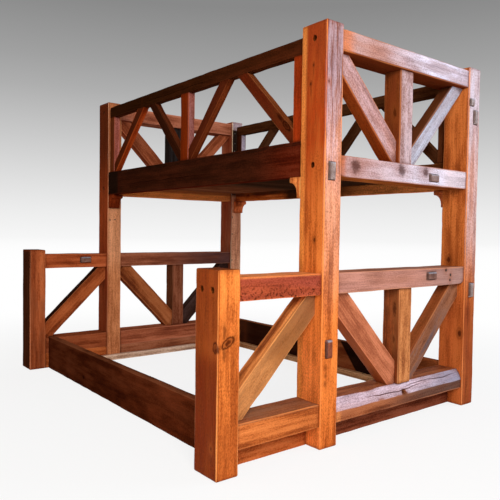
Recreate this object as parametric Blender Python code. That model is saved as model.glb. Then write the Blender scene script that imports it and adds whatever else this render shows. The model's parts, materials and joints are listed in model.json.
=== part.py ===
"""Timber-frame bunk bed: a single bunk over a wider lower bed.

Mortised posts, rails, king posts and braces make the two end frames.

X runs along the bed, Y from the stepped-out front to the back, Z up, in metres.
The origin is on the floor, in the middle of the bed's plan, proud plugs included.
"""

import math

import bmesh
import bpy
from mathutils import Matrix, Vector

# Clear spaces between the posts
BED_LENGTH = 2.036
BUNK_CLEAR = 1.018
STEP_CLEAR = 0.452

# Posts
POST_WIDTH = 0.155
POST_DEPTH = 0.105
TALL_HEIGHT = 1.885
SHORT_HEIGHT = 0.814

# Cross timbers of the two end frames, hung below the posts' tops and the bunk's underside
END_SETBACK = 0.008
RAIL_THICK = 0.137
RAIL_TALL = 0.095
SILL_TALL = 0.103
SILL_UNDERSIDE = 0.100
LOWER_RAIL_DROP = 0.032
BUNK_END_DROP = 0.0015
TOP_RAIL_DROP = 0.019

# King posts and braces that fill the end frames
KING_WIDTH = 0.100
KING_THICK = 0.100
KING_SETBACK = 0.015
KING_SHIFT = {"lower": 0.008, "bunk": -0.019}
BRACE_THICK = 0.070
BRACE_SETBACK = 0.037

# Braces by bay: width, how far the axis' foot lies above the sill, and its head inside the bay's far side
END_BRACES = {
    "lower_front": (0.120, 0.031, 0.022),
    "lower_back": (0.104, 0.029, 0.000),
    "bunk_front": (0.100, 0.045, 0.018),
    "bunk_back": (0.082, 0.008, 0.046),
    "step": (0.102, 0.020, -0.022),
}

# Hewn chamfer along the outer top edge of the right end sill
WANE_DROP = 0.050
WANE_DEPTH = 0.030

# Lower bed boards and the ledger strips that carry a box spring
SIDE_RAIL_THICK = 0.038
SIDE_RAIL_TALL = 0.220
FRONT_RAIL_STEP = 0.022
BACK_RAIL_STEP = 0.012
LEDGER_WIDTH = 0.038
LEDGER_TALL = 0.038
UNDER_BOARD_THICK = 0.066

# Bunk side rails, deck and corbels
BUNK_RAIL_SETBACK = 0.003
BUNK_RAIL_THICK = 0.055
BUNK_RAIL_TALL = 0.162
BUNK_RAIL_UNDERSIDE = 1.215
DECK_RISE = 0.064
DECK_THICK = 0.020
DECK_GROOVE = 0.012
DECK_BOARD_WIDTH = 0.136
DECK_VEE = 0.004
CORBEL_OUT = 0.075
CORBEL_TALL = 0.098
CORBEL_THICK = 0.080
CORBEL_NOSE = 0.026
CORBEL_TOE = 0.022
CORBEL_HEEL = 0.008

# Guard panels above the bunk side rails
GUARD_SETBACK = 0.015
GUARD_THICK = 0.043
GUARD_RAIL_TALL = 0.074
GUARD_RAIL_DROP = 0.040
STILE_WIDTH = 0.070
CENTRE_WIDTH = 0.086
GUARD_BRACE_WIDTH = 0.062
GUARD_BRACE_THICK = 0.038
GUARD_BRACE_FOOT = 0.020
GUARD_APEX_GAP = 0.157
GUARD_APEX_SHIFT = 0.020

# Joinery
TENON_THICK = 0.032
TENON_SHOULDER = 0.018
TENON_LONG = 0.036
BOARD_TENON_THICK = 0.018
BOARD_TENON_SHOULDER = 0.026
BOARD_TENON_LONG = 0.044
STUB_TENON_LONG = 0.020
STUB_TENON_THICK = 0.016
FIT = 0.0003
MORTISE_END = 0.002
EASE = 0.004

# Bolt holes through the posts into the ends of the cross rails
COUNTERBORE_RADIUS = 0.0125
COUNTERBORE_DEEP = 0.030
BOLT_RADIUS = 0.006
BOLT_REACH = 0.110
BOLT_PAIR_SPREAD = 0.073

# Proud wooden plugs that fill old mortises
PLUG_LONG = 0.078
PLUG_SHORT = 0.038
PLUG_PROUD = 0.010
PLUG_BED = 0.012
PLUG_CHAMFER = 0.004

# Wood tones: colour, roughness
WOODS = {
    "post_timber": ((0.46, 0.135, 0.030, 1.0), 0.42),
    "end_timber": ((0.36, 0.110, 0.036, 1.0), 0.45),
    "brace_timber": ((0.34, 0.135, 0.045, 1.0), 0.50),
    "guard_timber": ((0.095, 0.024, 0.008, 1.0), 0.45),
    "bed_board": ((0.110, 0.030, 0.009, 1.0), 0.50),
    "deck_board": ((0.230, 0.090, 0.035, 1.0), 0.60),
}

# Positions that follow from the sizes above
X_IN = BED_LENGTH / 2
X_OUT = X_IN + POST_WIDTH
DEPTH = 3 * POST_DEPTH + STEP_CLEAR + BUNK_CLEAR
Y_SHORT_FRONT = -DEPTH / 2
Y_SHORT_BACK = Y_SHORT_FRONT + POST_DEPTH
Y_FRONT_FRONT = Y_SHORT_BACK + STEP_CLEAR
Y_FRONT_BACK = Y_FRONT_FRONT + POST_DEPTH
Y_BACK_FRONT = Y_FRONT_BACK + BUNK_CLEAR
Y_BACK_BACK = Y_BACK_FRONT + POST_DEPTH
X_POST = (X_IN + X_OUT) / 2
X_END_FACE = X_OUT - END_SETBACK
X_RAIL = X_END_FACE - RAIL_THICK / 2
X_SILL = (X_IN + X_END_FACE) / 2
SILL_THICK = X_END_FACE - X_IN
X_KING = X_END_FACE - KING_SETBACK - KING_THICK / 2
X_BRACE = X_END_FACE - BRACE_SETBACK - BRACE_THICK / 2
SILL_TOP = SILL_UNDERSIDE + SILL_TALL
LOWER_RAIL_UNDERSIDE = SHORT_HEIGHT - LOWER_RAIL_DROP - RAIL_TALL
BUNK_END_UNDERSIDE = BUNK_RAIL_UNDERSIDE - BUNK_END_DROP
TOP_RAIL_UNDERSIDE = TALL_HEIGHT - TOP_RAIL_DROP - RAIL_TALL
GUARD_RAIL_UNDERSIDE = TALL_HEIGHT - GUARD_RAIL_DROP - GUARD_RAIL_TALL
BUNK_END_TOP = BUNK_END_UNDERSIDE + RAIL_TALL
BUNK_RAIL_TOP = BUNK_RAIL_UNDERSIDE + BUNK_RAIL_TALL
Y_BAY_MIDDLE = (Y_FRONT_BACK + Y_BACK_FRONT) / 2
ENDS = {"right": 1, "left": -1}

for old in list(bpy.data.objects):
    bpy.data.objects.remove(old, do_unlink=True)


def new_collection(name):
    """Make a collection in the scene."""
    made = bpy.data.collections.new(name)
    bpy.context.scene.collection.children.link(made)
    return made


BED = new_collection("bunk_bed")
CUTTERS = new_collection("bunk_bed_cutters")
ROOT = bpy.data.objects.new("bunk_bed", None)
ROOT.location = (-PLUG_PROUD / 2, 0.0, 0.0)
BED.objects.link(ROOT)


def wood(name):
    """Find or make the material of one wood tone."""
    material = bpy.data.materials.get(name)
    if material is None:
        material = bpy.data.materials.new(name)
        material.use_nodes = True
        shader = material.node_tree.nodes["Principled BSDF"]
        colour, roughness = WOODS[name]
        shader.inputs["Base Color"].default_value = colour
        shader.inputs["Roughness"].default_value = roughness
        shader.inputs["Metallic"].default_value = 0.0
    return material


def block_mesh(name, size, ease=0.0, along=None):
    """Make a box mesh round its own origin, with the edges along one axis eased."""
    shape = bmesh.new()
    bmesh.ops.create_cube(shape, size=1.0, matrix=Matrix.Diagonal((*size, 1.0)))
    if ease:
        edges = []
        for edge in shape.edges:
            run = edge.verts[1].co - edge.verts[0].co
            if along is None or abs(run["XYZ".index(along)]) > 1e-6:
                edges.append(edge)
        bmesh.ops.bevel(shape, geom=edges, offset=ease, segments=2, profile=0.5, affect="EDGES")
    mesh = bpy.data.meshes.new(name)
    shape.to_mesh(mesh)
    shape.free()
    return mesh


def timber(name, tone, centre, size, along, ease=EASE):
    """Place one eased timber as a part of the bed."""
    part = bpy.data.objects.new(name, block_mesh(name, size, ease, along))
    part.location = centre
    part.parent = ROOT
    part.data.materials.append(wood(tone))
    BED.objects.link(part)
    return part


def helper(name, mesh, location=(0.0, 0.0, 0.0), turn=None):
    """Place a shape that only cuts, trims or extends a part."""
    tool = bpy.data.objects.new(name, mesh)
    tool.location = location
    tool.parent = ROOT
    if turn is not None:
        tool.rotation_euler = turn
    tool.hide_render = True
    tool.display_type = "WIRE"
    CUTTERS.objects.link(tool)
    return tool


def boolean(part, tool, operation):
    """Join, cut or trim a part with a helper shape."""
    step = part.modifiers.new(f"{operation.lower()}_{tool.name}", "BOOLEAN")
    step.operation = operation
    step.solver = "EXACT"
    step.object = tool
    return step


def boxes_mesh(name, boxes):
    """Make one mesh of separate boxes, each given as its low and high corner."""
    shape = bmesh.new()
    for low, high in boxes:
        middle = (Vector(low) + Vector(high)) / 2
        size = Vector(high) - Vector(low)
        placed = Matrix.Translation(middle) @ Matrix.Diagonal((*size, 1.0))
        bmesh.ops.create_cube(shape, size=1.0, matrix=placed)
    mesh = bpy.data.meshes.new(name)
    shape.to_mesh(mesh)
    shape.free()
    return mesh


def rods_mesh(name, rods):
    """Make one mesh of separate round bars along Y, each given as start, end and radius."""
    shape = bmesh.new()
    for start, end, radius in rods:
        middle = (Vector(start) + Vector(end)) / 2
        long = abs(end[1] - start[1])
        turned = Matrix.Translation(middle) @ Matrix.Rotation(math.radians(90), 4, "X")
        bmesh.ops.create_cone(
            shape, cap_ends=True, segments=20, radius1=radius, radius2=radius, depth=long, matrix=turned
        )
    mesh = bpy.data.meshes.new(name)
    shape.to_mesh(mesh)
    shape.free()
    return mesh


class Joinery:
    """Collects the mortises, bolt holes and plugs of each timber, and cuts them all at the end."""

    def __init__(self):
        self.mortises = {}
        self.counterbores = {}
        self.shanks = {}
        self.plugs = {}

    def mortise(self, part, low, high):
        """Book a mortise between two corners."""
        self.mortises.setdefault(part, []).append((low, high))

    def bolt(self, post, rail, x, z, face, inward, inside):
        """Book a counterbored bolt hole along Y through a post into the end of a rail."""
        seat = face + inward * COUNTERBORE_DEEP
        outside = face - inward * COUNTERBORE_DEEP
        self.counterbores.setdefault(post, []).append(((x, outside, z), (x, seat, z), COUNTERBORE_RADIUS))
        through = face + inward * (POST_DEPTH + COUNTERBORE_DEEP)
        self.shanks.setdefault(post, []).append(((x, outside, z), (x, through, z), BOLT_RADIUS))
        end = inside + inward * BOLT_REACH
        self.shanks.setdefault(rail, []).append(((x, face, z), (x, end, z), BOLT_RADIUS))

    def plug(self, part, face, outward, y, z, wide, tall):
        """Book a proud plug on a face that looks along X."""
        middle = (face + outward * (PLUG_PROUD - PLUG_BED) / 2, y, z)
        self.plugs.setdefault(part, []).append((middle, (PLUG_PROUD + PLUG_BED, wide, tall)))

    def cut(self):
        """Cut and fill everything that was booked."""
        for part, boxes in self.mortises.items():
            boolean(part, helper(f"mortises_{part.name}", boxes_mesh("mortises", boxes)), "DIFFERENCE")
        for part, rods in self.counterbores.items():
            drill = helper(f"counterbores_{part.name}", rods_mesh("counterbores", rods))
            boolean(part, drill, "DIFFERENCE")
        for part, rods in self.shanks.items():
            drill = helper(f"bolt_holes_{part.name}", rods_mesh("bolt_holes", rods))
            boolean(part, drill, "DIFFERENCE")
        for part, plugs in self.plugs.items():
            for number, (middle, size) in enumerate(plugs):
                label = f"plug_{part.name}_{number}"
                boolean(part, helper(label, block_mesh("plug", size, PLUG_CHAMFER), middle), "UNION")


JOINERY = Joinery()


def tenoned(name, tone, centre, size, along, tenon, reach, hosts):
    """Place a timber with a tenon on both ends, and book the mortises in the timbers that take them.

    tenon holds the sizes of the tenon across the timber, in the order of the other two axes.
    """
    part = timber(name, tone, centre, size, along)
    axis = "XYZ".index(along)
    others = [i for i in range(3) if i != axis]
    full = [0.0, 0.0, 0.0]
    full[axis] = size[axis] + 2 * reach
    for i, across in zip(others, tenon):
        full[i] = across
    boolean(part, helper(f"tenons_{name}", block_mesh("tenons", full), centre), "UNION")
    for sign, host in zip((-1, 1), hosts):
        low = [centre[i] - full[i] / 2 - FIT for i in range(3)]
        high = [centre[i] + full[i] / 2 + FIT for i in range(3)]
        shoulder = centre[axis] + sign * (size[axis] / 2 - FIT)
        end = centre[axis] + sign * (full[axis] / 2 + MORTISE_END)
        low[axis] = min(shoulder, end)
        high[axis] = max(shoulder, end)
        JOINERY.mortise(host, low, high)
    return part


def brace(name, tone, plane, across, foot, head, bay, width, thick):
    """Place a diagonal bar, cut at both ends to seat in the corners of its bay.

    plane is "Y" for a bay in an end frame and "X" for one in a guard. foot and head are the ends of
    the bar's axis in that direction and in Z, bay holds the bay's two corners in the same way, and
    across is where the bar lies in the other direction.
    """
    run = head[0] - foot[0]
    climb = head[1] - foot[1]
    angle = math.atan2(climb, run)
    long = math.hypot(run, climb) + 4 * width
    centre = [(foot[0] + head[0]) / 2, (foot[1] + head[1]) / 2]
    low, high = bay
    if plane == "Y":
        size = (thick, long, width)
        location = (across, centre[0], centre[1])
        turn = (angle, 0.0, 0.0)
        room = ((across - thick, low[0] + FIT, low[1] + FIT), (across + thick, high[0] - FIT, high[1] - FIT))
    else:
        size = (long, thick, width)
        location = (centre[0], across, centre[1])
        turn = (0.0, -angle, 0.0)
        room = ((low[0] + FIT, across - thick, low[1] + FIT), (high[0] - FIT, across + thick, high[1] - FIT))
    part = timber(name, tone, location, size, plane)
    part.rotation_euler = turn
    boolean(part, helper(f"bay_{name}", boxes_mesh("bay", [room])), "INTERSECT")
    return part


def post(name, x, y, height):
    """Place one post with its foot on the floor."""
    return timber(name, "post_timber", (x, y, height / 2), (POST_WIDTH, POST_DEPTH, height), "Z")


# Posts
posts = {}
for end, side in ENDS.items():
    for place, label, y_front, height in (
        ("short", "post_short", Y_SHORT_FRONT, SHORT_HEIGHT),
        ("front", "post_tall_front", Y_FRONT_FRONT, TALL_HEIGHT),
        ("back", "post_tall_back", Y_BACK_FRONT, TALL_HEIGHT),
    ):
        posts[place, end] = post(f"{label}_{end}", side * X_POST, y_front + POST_DEPTH / 2, height)


def cross_timber(name, side, x, thick, underside, tall, bay, hosts):
    """Place a rail or sill across an end frame, tenoned into the posts of its bay."""
    low, high = bay
    centre = (side * x, (low + high) / 2, underside + tall / 2)
    size = (thick, high - low - 2 * FIT, tall)
    tenon = (TENON_THICK, tall - 2 * TENON_SHOULDER)
    return tenoned(name, "end_timber", centre, size, "Y", tenon, TENON_LONG, hosts)


def king_post(name, side, y, low, high, hosts):
    """Place the upright in the middle of an end frame's bay, stub-tenoned into rail and sill."""
    centre = (side * X_KING, y, (low + high) / 2)
    size = (KING_THICK, KING_WIDTH, high - low - 2 * FIT)
    tenon = (STUB_TENON_THICK, KING_WIDTH - 2 * TENON_SHOULDER)
    return tenoned(name, "end_timber", centre, size, "Z", tenon, STUB_TENON_LONG, hosts)


def end_brace(name, kind, side, sides, low, high):
    """Place a brace of an end frame; sides are the Y of its bay at the brace's foot and at its head."""
    width, foot_up, head_in = END_BRACES[kind]
    near, far = sides
    inward = 1 if near > far else -1
    bay = ((min(sides), low), (max(sides), high))
    foot, head = (near, low + foot_up), (far + inward * head_in, high)
    return brace(name, "brace_timber", "Y", side * X_BRACE, foot, head, bay, width, BRACE_THICK)


STEP_BAY = (Y_SHORT_BACK, Y_FRONT_FRONT)
MAIN_BAY = (Y_FRONT_BACK, Y_BACK_FRONT)
CROSS_TIMBERS = {
    "step": ("lower_step_rail", X_RAIL, RAIL_THICK, LOWER_RAIL_UNDERSIDE, RAIL_TALL, STEP_BAY),
    "step_sill": ("lower_step_sill", X_SILL, SILL_THICK, SILL_UNDERSIDE, SILL_TALL, STEP_BAY),
    "lower": ("lower_end_rail", X_RAIL, RAIL_THICK, LOWER_RAIL_UNDERSIDE, RAIL_TALL, MAIN_BAY),
    "sill": ("lower_end_sill", X_SILL, SILL_THICK, SILL_UNDERSIDE, SILL_TALL, MAIN_BAY),
    "bunk": ("bunk_end_rail", X_RAIL, RAIL_THICK, BUNK_END_UNDERSIDE, RAIL_TALL, MAIN_BAY),
    "top": ("bunk_top_rail", X_RAIL, RAIL_THICK, TOP_RAIL_UNDERSIDE, RAIL_TALL, MAIN_BAY),
}
STOREYS = {
    "lower": (SILL_TOP, LOWER_RAIL_UNDERSIDE, "sill", "lower"),
    "bunk": (BUNK_END_TOP, TOP_RAIL_UNDERSIDE, "bunk", "top"),
}
rails = {}

# End frames
for end, side in ENDS.items():
    for kind, (label, x, thick, underside, tall, bay) in CROSS_TIMBERS.items():
        places = ("short", "front") if bay == STEP_BAY else ("front", "back")
        hosts = [posts[place, end] for place in places]
        rails[kind, end] = cross_timber(f"{label}_{end}", side, x, thick, underside, tall, bay, hosts)
    for storey, (low, high, foot, head) in STOREYS.items():
        y_king = Y_BAY_MIDDLE + KING_SHIFT[storey]
        king_post(f"{storey}_king_post_{end}", side, y_king, low, high, (rails[foot, end], rails[head, end]))
        king_front, king_back = y_king - KING_WIDTH / 2, y_king + KING_WIDTH / 2
        end_brace(f"{storey}_brace_front_{end}", f"{storey}_front", side, (king_front, Y_FRONT_BACK), low, high)
        end_brace(f"{storey}_brace_back_{end}", f"{storey}_back", side, (king_back, Y_BACK_FRONT), low, high)
    end_brace(
        f"lower_step_brace_{end}", "step", side, (Y_SHORT_BACK, Y_FRONT_FRONT), SILL_TOP, LOWER_RAIL_UNDERSIDE
    )

# Wane hewn off the outer top edge of the right end sill
wane_angle = math.atan2(WANE_DROP, WANE_DEPTH)
wane_long = BUNK_CLEAR + 2 * TENON_LONG
wane_size = 4 * math.hypot(WANE_DROP, WANE_DEPTH)
wane_edge = Vector((X_END_FACE - WANE_DEPTH / 2, Y_BAY_MIDDLE, SILL_TOP - WANE_DROP / 2))
wane_normal = Vector((math.sin(wane_angle), 0.0, math.cos(wane_angle)))
wane_tool = helper(
    "wane", block_mesh("wane", (wane_size, wane_long, wane_size)),
    wane_edge + wane_normal * wane_size / 2, (0.0, wane_angle - math.pi / 2, 0.0),
)
boolean(rails["sill", "right"], wane_tool, "DIFFERENCE")

# Lower bed: side boards on the floor, with the ledger strips along their inner faces
Y_FRONT_RAIL = Y_SHORT_BACK + FRONT_RAIL_STEP
Y_FRONT_RAIL_IN = Y_FRONT_RAIL + SIDE_RAIL_THICK
Y_BACK_RAIL_IN = Y_BACK_FRONT + BACK_RAIL_STEP
X_LEDGER_IN = X_IN - FIT - LEDGER_WIDTH
board_tenon = (BOARD_TENON_THICK, SILL_TALL - 2 * BOARD_TENON_SHOULDER)
for place, y_low, hosts, inside in (
    ("front", Y_FRONT_RAIL, (rails["step_sill", "left"], rails["step_sill", "right"]), 1),
    ("back", Y_BACK_RAIL_IN, (posts["back", "left"], posts["back", "right"]), -1),
):
    y_mid = y_low + SIDE_RAIL_THICK / 2
    z_tenon = SILL_UNDERSIDE + SILL_TALL / 2
    board = timber(
        f"lower_side_rail_{place}", "bed_board", (0.0, y_mid, SIDE_RAIL_TALL / 2),
        (BED_LENGTH - 2 * FIT, SIDE_RAIL_THICK, SIDE_RAIL_TALL), "X",
    )
    full = (BED_LENGTH - 2 * FIT + 2 * BOARD_TENON_LONG, *board_tenon)
    tenons = helper(f"tenons_{board.name}", block_mesh("tenons", full), (0.0, y_mid, z_tenon))
    boolean(board, tenons, "UNION")
    for sign, host in zip((-1, 1), hosts):
        ends = sorted((sign * (X_IN - 2 * FIT), sign * (X_IN + BOARD_TENON_LONG + MORTISE_END)))
        half = [side / 2 + FIT for side in board_tenon]
        low = (ends[0], y_mid - half[0], z_tenon - half[1])
        high = (ends[1], y_mid + half[0], z_tenon + half[1])
        JOINERY.mortise(host, low, high)
    y_face = y_mid + inside * SIDE_RAIL_THICK / 2
    y_ends = sorted((y_face - inside * SIDE_RAIL_THICK / 2, y_face + inside * LEDGER_WIDTH))
    ledger = ((-X_LEDGER_IN + FIT, y_ends[0], 0.0), (X_LEDGER_IN - FIT, y_ends[1], LEDGER_TALL))
    boolean(board, helper(f"ledger_{place}", boxes_mesh("ledger", [ledger])), "UNION")

# End ledgers along the posts' inner faces, with the two under-boards that close the gap below the sills
for end, side in ENDS.items():
    y_low = Y_FRONT_RAIL_IN + FIT
    y_high = Y_BACK_RAIL_IN - FIT
    x_mid = side * (X_IN - FIT - LEDGER_WIDTH / 2)
    strip = timber(
        f"end_ledger_{end}", "bed_board", (x_mid, (y_low + y_high) / 2, LEDGER_TALL / 2),
        (LEDGER_WIDTH, y_high - y_low, LEDGER_TALL), "Y", 0.0,
    )
    for bay, low, high in (
        ("step", y_low, Y_FRONT_FRONT - FIT),
        ("main", Y_FRONT_BACK + FIT, Y_BACK_FRONT - FIT),
    ):
        x_ends = sorted((side * (X_IN - LEDGER_WIDTH / 2), side * (X_IN + UNDER_BOARD_THICK)))
        x_face = sorted((side * X_IN, side * (X_IN + UNDER_BOARD_THICK)))
        foot = ((x_ends[0], low, 0.0), (x_ends[1], high, LEDGER_TALL))
        board = ((x_face[0], low, LEDGER_TALL / 2), (x_face[1], high, SILL_UNDERSIDE - FIT))
        boolean(strip, helper(f"under_foot_{bay}_{end}", boxes_mesh("foot", [foot])), "UNION")
        boolean(strip, helper(f"under_board_{bay}_{end}", boxes_mesh("board", [board])), "UNION")


def side_member(name, y, thick, underside, tall, place):
    """Place a rail along the bed between two tall posts, tenoned into their inner faces."""
    hosts = (posts[place, "left"], posts[place, "right"])
    size = (BED_LENGTH - 2 * FIT, thick, tall)
    tenon = (BOARD_TENON_THICK, tall - BOARD_TENON_SHOULDER)
    centre = (0.0, y, underside + tall / 2)
    return tenoned(name, "guard_timber", centre, size, "X", tenon, BOARD_TENON_LONG, hosts)


# Bunk side rails, guards and corbels, front and back
bunk_rails = {}
for place, outward, y_face in (("front", -1, Y_FRONT_FRONT), ("back", 1, Y_BACK_BACK)):
    y_rail = y_face - outward * (BUNK_RAIL_SETBACK + BUNK_RAIL_THICK / 2)
    y_guard = y_face - outward * (GUARD_SETBACK + GUARD_THICK / 2)
    bunk_rail = side_member(
        f"bunk_side_rail_{place}", y_rail, BUNK_RAIL_THICK, BUNK_RAIL_UNDERSIDE, BUNK_RAIL_TALL, place
    )
    guard_rail = side_member(
        f"guard_top_rail_{place}", y_guard, GUARD_THICK, GUARD_RAIL_UNDERSIDE, GUARD_RAIL_TALL, place
    )
    bunk_rails[place] = (bunk_rail, y_rail)
    z_low, z_high = BUNK_RAIL_TOP, GUARD_RAIL_UNDERSIDE
    for name, x_mid, width in (
        (f"guard_stile_{place}_left", -X_IN + FIT + STILE_WIDTH / 2, STILE_WIDTH),
        (f"guard_centre_post_{place}", 0.0, CENTRE_WIDTH),
        (f"guard_stile_{place}_right", X_IN - FIT - STILE_WIDTH / 2, STILE_WIDTH),
    ):
        tenoned(
            name, "guard_timber", (x_mid, y_guard, (z_low + z_high) / 2),
            (width, GUARD_THICK, z_high - z_low - 2 * FIT), "Z",
            (width - 2 * TENON_SHOULDER, STUB_TENON_THICK), STUB_TENON_LONG, (bunk_rail, guard_rail),
        )
    x_inner = CENTRE_WIDTH / 2
    x_outer = X_IN - FIT - STILE_WIDTH
    x_apex = (x_inner + x_outer) / 2 - GUARD_APEX_SHIFT
    half_gap = GUARD_APEX_GAP / 2
    for number, (x_foot, apex, lean) in enumerate((
        (-x_outer, -x_apex, -1), (-x_inner, -x_apex, 1), (x_inner, x_apex, -1), (x_outer, x_apex, 1)
    )):
        brace(
            f"guard_brace_{place}_{number + 1}", "guard_timber", "X", y_guard,
            (x_foot, z_low + GUARD_BRACE_FOOT), (apex + lean * half_gap, z_high),
            ((min(x_foot, apex), z_low), (max(x_foot, apex), z_high)), GUARD_BRACE_WIDTH, GUARD_BRACE_THICK,
        )

# Bunk deck of tongued boards, housed in grooves along both side rails
deck_low = bunk_rails["front"][1] + BUNK_RAIL_THICK / 2 - DECK_GROOVE
deck_high = bunk_rails["back"][1] - BUNK_RAIL_THICK / 2 + DECK_GROOVE
deck_z = BUNK_RAIL_UNDERSIDE + DECK_RISE
deck_mid = (deck_low + deck_high) / 2
deck = timber(
    "bunk_deck", "deck_board", (0.0, deck_mid, deck_z + DECK_THICK / 2),
    (BED_LENGTH - 4 * FIT, deck_high - deck_low, DECK_THICK), "Y", 0.0,
)
boards = max(2, round(BED_LENGTH / DECK_BOARD_WIDTH))
vees = bmesh.new()
for joint in range(1, boards):
    x_joint = -X_IN + joint * BED_LENGTH / boards
    for z_face in (deck_z, deck_z + DECK_THICK):
        spin = Matrix.Translation((x_joint, deck_mid, z_face)) @ Matrix.Rotation(math.radians(45), 4, "Y")
        edge = Matrix.Diagonal((DECK_VEE, DEPTH, DECK_VEE, 1.0))
        bmesh.ops.create_cube(vees, size=1.0, matrix=spin @ edge)
vee_mesh = bpy.data.meshes.new("vees")
vees.to_mesh(vee_mesh)
vees.free()
boolean(deck, helper("deck_vees", vee_mesh), "DIFFERENCE")
for place, (bunk_rail, y_rail) in bunk_rails.items():
    inside = 1 if place == "front" else -1
    y_face = y_rail + inside * BUNK_RAIL_THICK / 2
    y_ends = sorted((y_face - inside * (DECK_GROOVE + FIT), y_face + inside * DECK_GROOVE))
    JOINERY.mortise(
        bunk_rail, (-X_IN - BOARD_TENON_LONG, y_ends[0], deck_z - FIT),
        (X_IN + BOARD_TENON_LONG, y_ends[1], deck_z + DECK_THICK + FIT),
    )


def corbel_outline():
    """Trace the ogee of a corbel: a rounded nose, a long cove and a short toe, as (out, down) pairs."""
    points = [(0.0, 0.0), (CORBEL_OUT - CORBEL_NOSE * 0.12, 0.0)]
    for step in range(7):
        angle = math.pi * step / 6
        points.append((
            CORBEL_OUT - CORBEL_NOSE * 0.12 * (1 - math.sin(angle)),
            CORBEL_NOSE * (1 - math.cos(angle)) / 2,
        ))
    start = (CORBEL_OUT - CORBEL_NOSE * 0.12, CORBEL_NOSE)
    end = (CORBEL_TOE, CORBEL_TALL - CORBEL_HEEL)
    for step in range(1, 13):
        angle = math.pi / 2 * step / 12
        points.append((
            start[0] - (start[0] - end[0]) * math.sin(angle),
            end[1] - (end[1] - start[1]) * math.cos(angle),
        ))
    points.append((CORBEL_TOE, CORBEL_TALL))
    points.append((0.0, CORBEL_TALL))
    return points


# Corbels under the bunk side rails, on the inner faces of the tall posts, flush with the rails' outer faces
CORBEL_INSET = (CORBEL_THICK - BUNK_RAIL_THICK) / 2
for place, (bunk_rail, y_rail) in bunk_rails.items():
    y_corbel = y_rail + (CORBEL_INSET if place == "front" else -CORBEL_INSET)
    for end, side in ENDS.items():
        outline = bpy.data.curves.new(f"corbel_{place}_{end}", "CURVE")
        outline.dimensions = "2D"
        outline.fill_mode = "BOTH"
        outline.extrude = CORBEL_THICK / 2
        trace = corbel_outline()
        spline = outline.splines.new("POLY")
        spline.points.add(len(trace) - 1)
        for point, (out, down) in zip(spline.points, trace):
            point.co = (-side * out, -down, 0.0, 1.0)
        spline.use_cyclic_u = True
        corbel = bpy.data.objects.new(f"corbel_{place}_{end}", outline)
        corbel.location = (side * (X_IN - FIT), y_corbel, BUNK_RAIL_UNDERSIDE - FIT)
        corbel.rotation_euler = (math.pi / 2, 0.0, 0.0)
        corbel.parent = ROOT
        outline.materials.append(wood("post_timber"))
        BED.objects.link(corbel)

# Bolt holes in the faces of the posts, on the lines of the rails behind them
for end, side in ENDS.items():
    z_step = LOWER_RAIL_UNDERSIDE + RAIL_TALL / 2
    for spread in (-BOLT_PAIR_SPREAD / 2, BOLT_PAIR_SPREAD / 2):
        x_bolt = side * X_POST + spread
        hosts = (posts["short", end], rails["step", end])
        JOINERY.bolt(*hosts, x_bolt, z_step, Y_SHORT_FRONT, 1, Y_SHORT_BACK)
    for place, kinds, face, inward, inside in (
        ("front", ("bunk", "top"), Y_FRONT_FRONT, 1, Y_FRONT_BACK),
        ("back", ("lower", "bunk", "top"), Y_BACK_BACK, -1, Y_BACK_FRONT),
    ):
        for kind in kinds:
            z_bolt = CROSS_TIMBERS[kind][3] + RAIL_TALL / 2
            JOINERY.bolt(posts[place, end], rails[kind, end], side * X_RAIL, z_bolt, face, inward, inside)

# Plugs in the old mortises that show on the timbers
Y_FRONT_PLUG = Y_FRONT_FRONT + POST_DEPTH * 0.42
Y_BACK_PLUG = Y_BACK_FRONT + POST_DEPTH * 0.60
Y_CORNER_PLUG = Y_BACK_FRONT + EASE + PLUG_SHORT / 2
Y_RAIL_PLUG = Y_BAY_MIDDLE + BUNK_CLEAR * 0.20
Y_STEP_PLUG = Y_SHORT_BACK + STEP_CLEAR * 0.64
Z_STEP_PLUG = LOWER_RAIL_UNDERSIDE + RAIL_TALL * 0.57
Z_BUNK_PLUG = BUNK_END_UNDERSIDE + RAIL_TALL * 0.42
Z_LOWER_PLUG = LOWER_RAIL_UNDERSIDE + RAIL_TALL * 0.58
front_post, back_post = posts["front", "right"], posts["back", "right"]
upright = (PLUG_SHORT, PLUG_LONG)
lying = (PLUG_LONG, PLUG_SHORT)
square = (PLUG_SHORT, PLUG_SHORT)
JOINERY.plug(front_post, X_OUT, 1, Y_FRONT_PLUG, BUNK_END_UNDERSIDE + PLUG_SHORT / 2, *upright)
JOINERY.plug(front_post, X_OUT, 1, Y_FRONT_PLUG, (SILL_TOP + LOWER_RAIL_UNDERSIDE) / 2, *upright)
JOINERY.plug(back_post, X_OUT, 1, Y_CORNER_PLUG, TOP_RAIL_UNDERSIDE - PLUG_LONG, *square)
JOINERY.plug(back_post, X_OUT, 1, Y_BACK_PLUG, TOP_RAIL_UNDERSIDE - 2 * PLUG_LONG, *upright)
JOINERY.plug(back_post, X_OUT, 1, Y_BACK_PLUG, LOWER_RAIL_UNDERSIDE - PLUG_SHORT, *upright)
JOINERY.plug(rails["bunk", "right"], X_END_FACE, 1, Y_RAIL_PLUG, Z_BUNK_PLUG, *lying)
JOINERY.plug(rails["lower", "right"], X_END_FACE, 1, Y_RAIL_PLUG, Z_LOWER_PLUG, *lying)
JOINERY.plug(rails["step", "left"], -(X_END_FACE - RAIL_THICK), 1, Y_STEP_PLUG, Z_STEP_PLUG, *lying)
JOINERY.cut()
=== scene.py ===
"""Looks of a timber-frame bunk bed in reclaimed, oiled softwood.

Every timber is a numpy surface: an uneven rounded section carried along the timber's own axis and
trimmed where it meets its neighbours. Wood is solid: rings, fibres, knots and stains are worked out
in each timber's own axes, so that they run through its faces, ends and diagonal cuts alike.
"""

from __future__ import annotations

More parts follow.
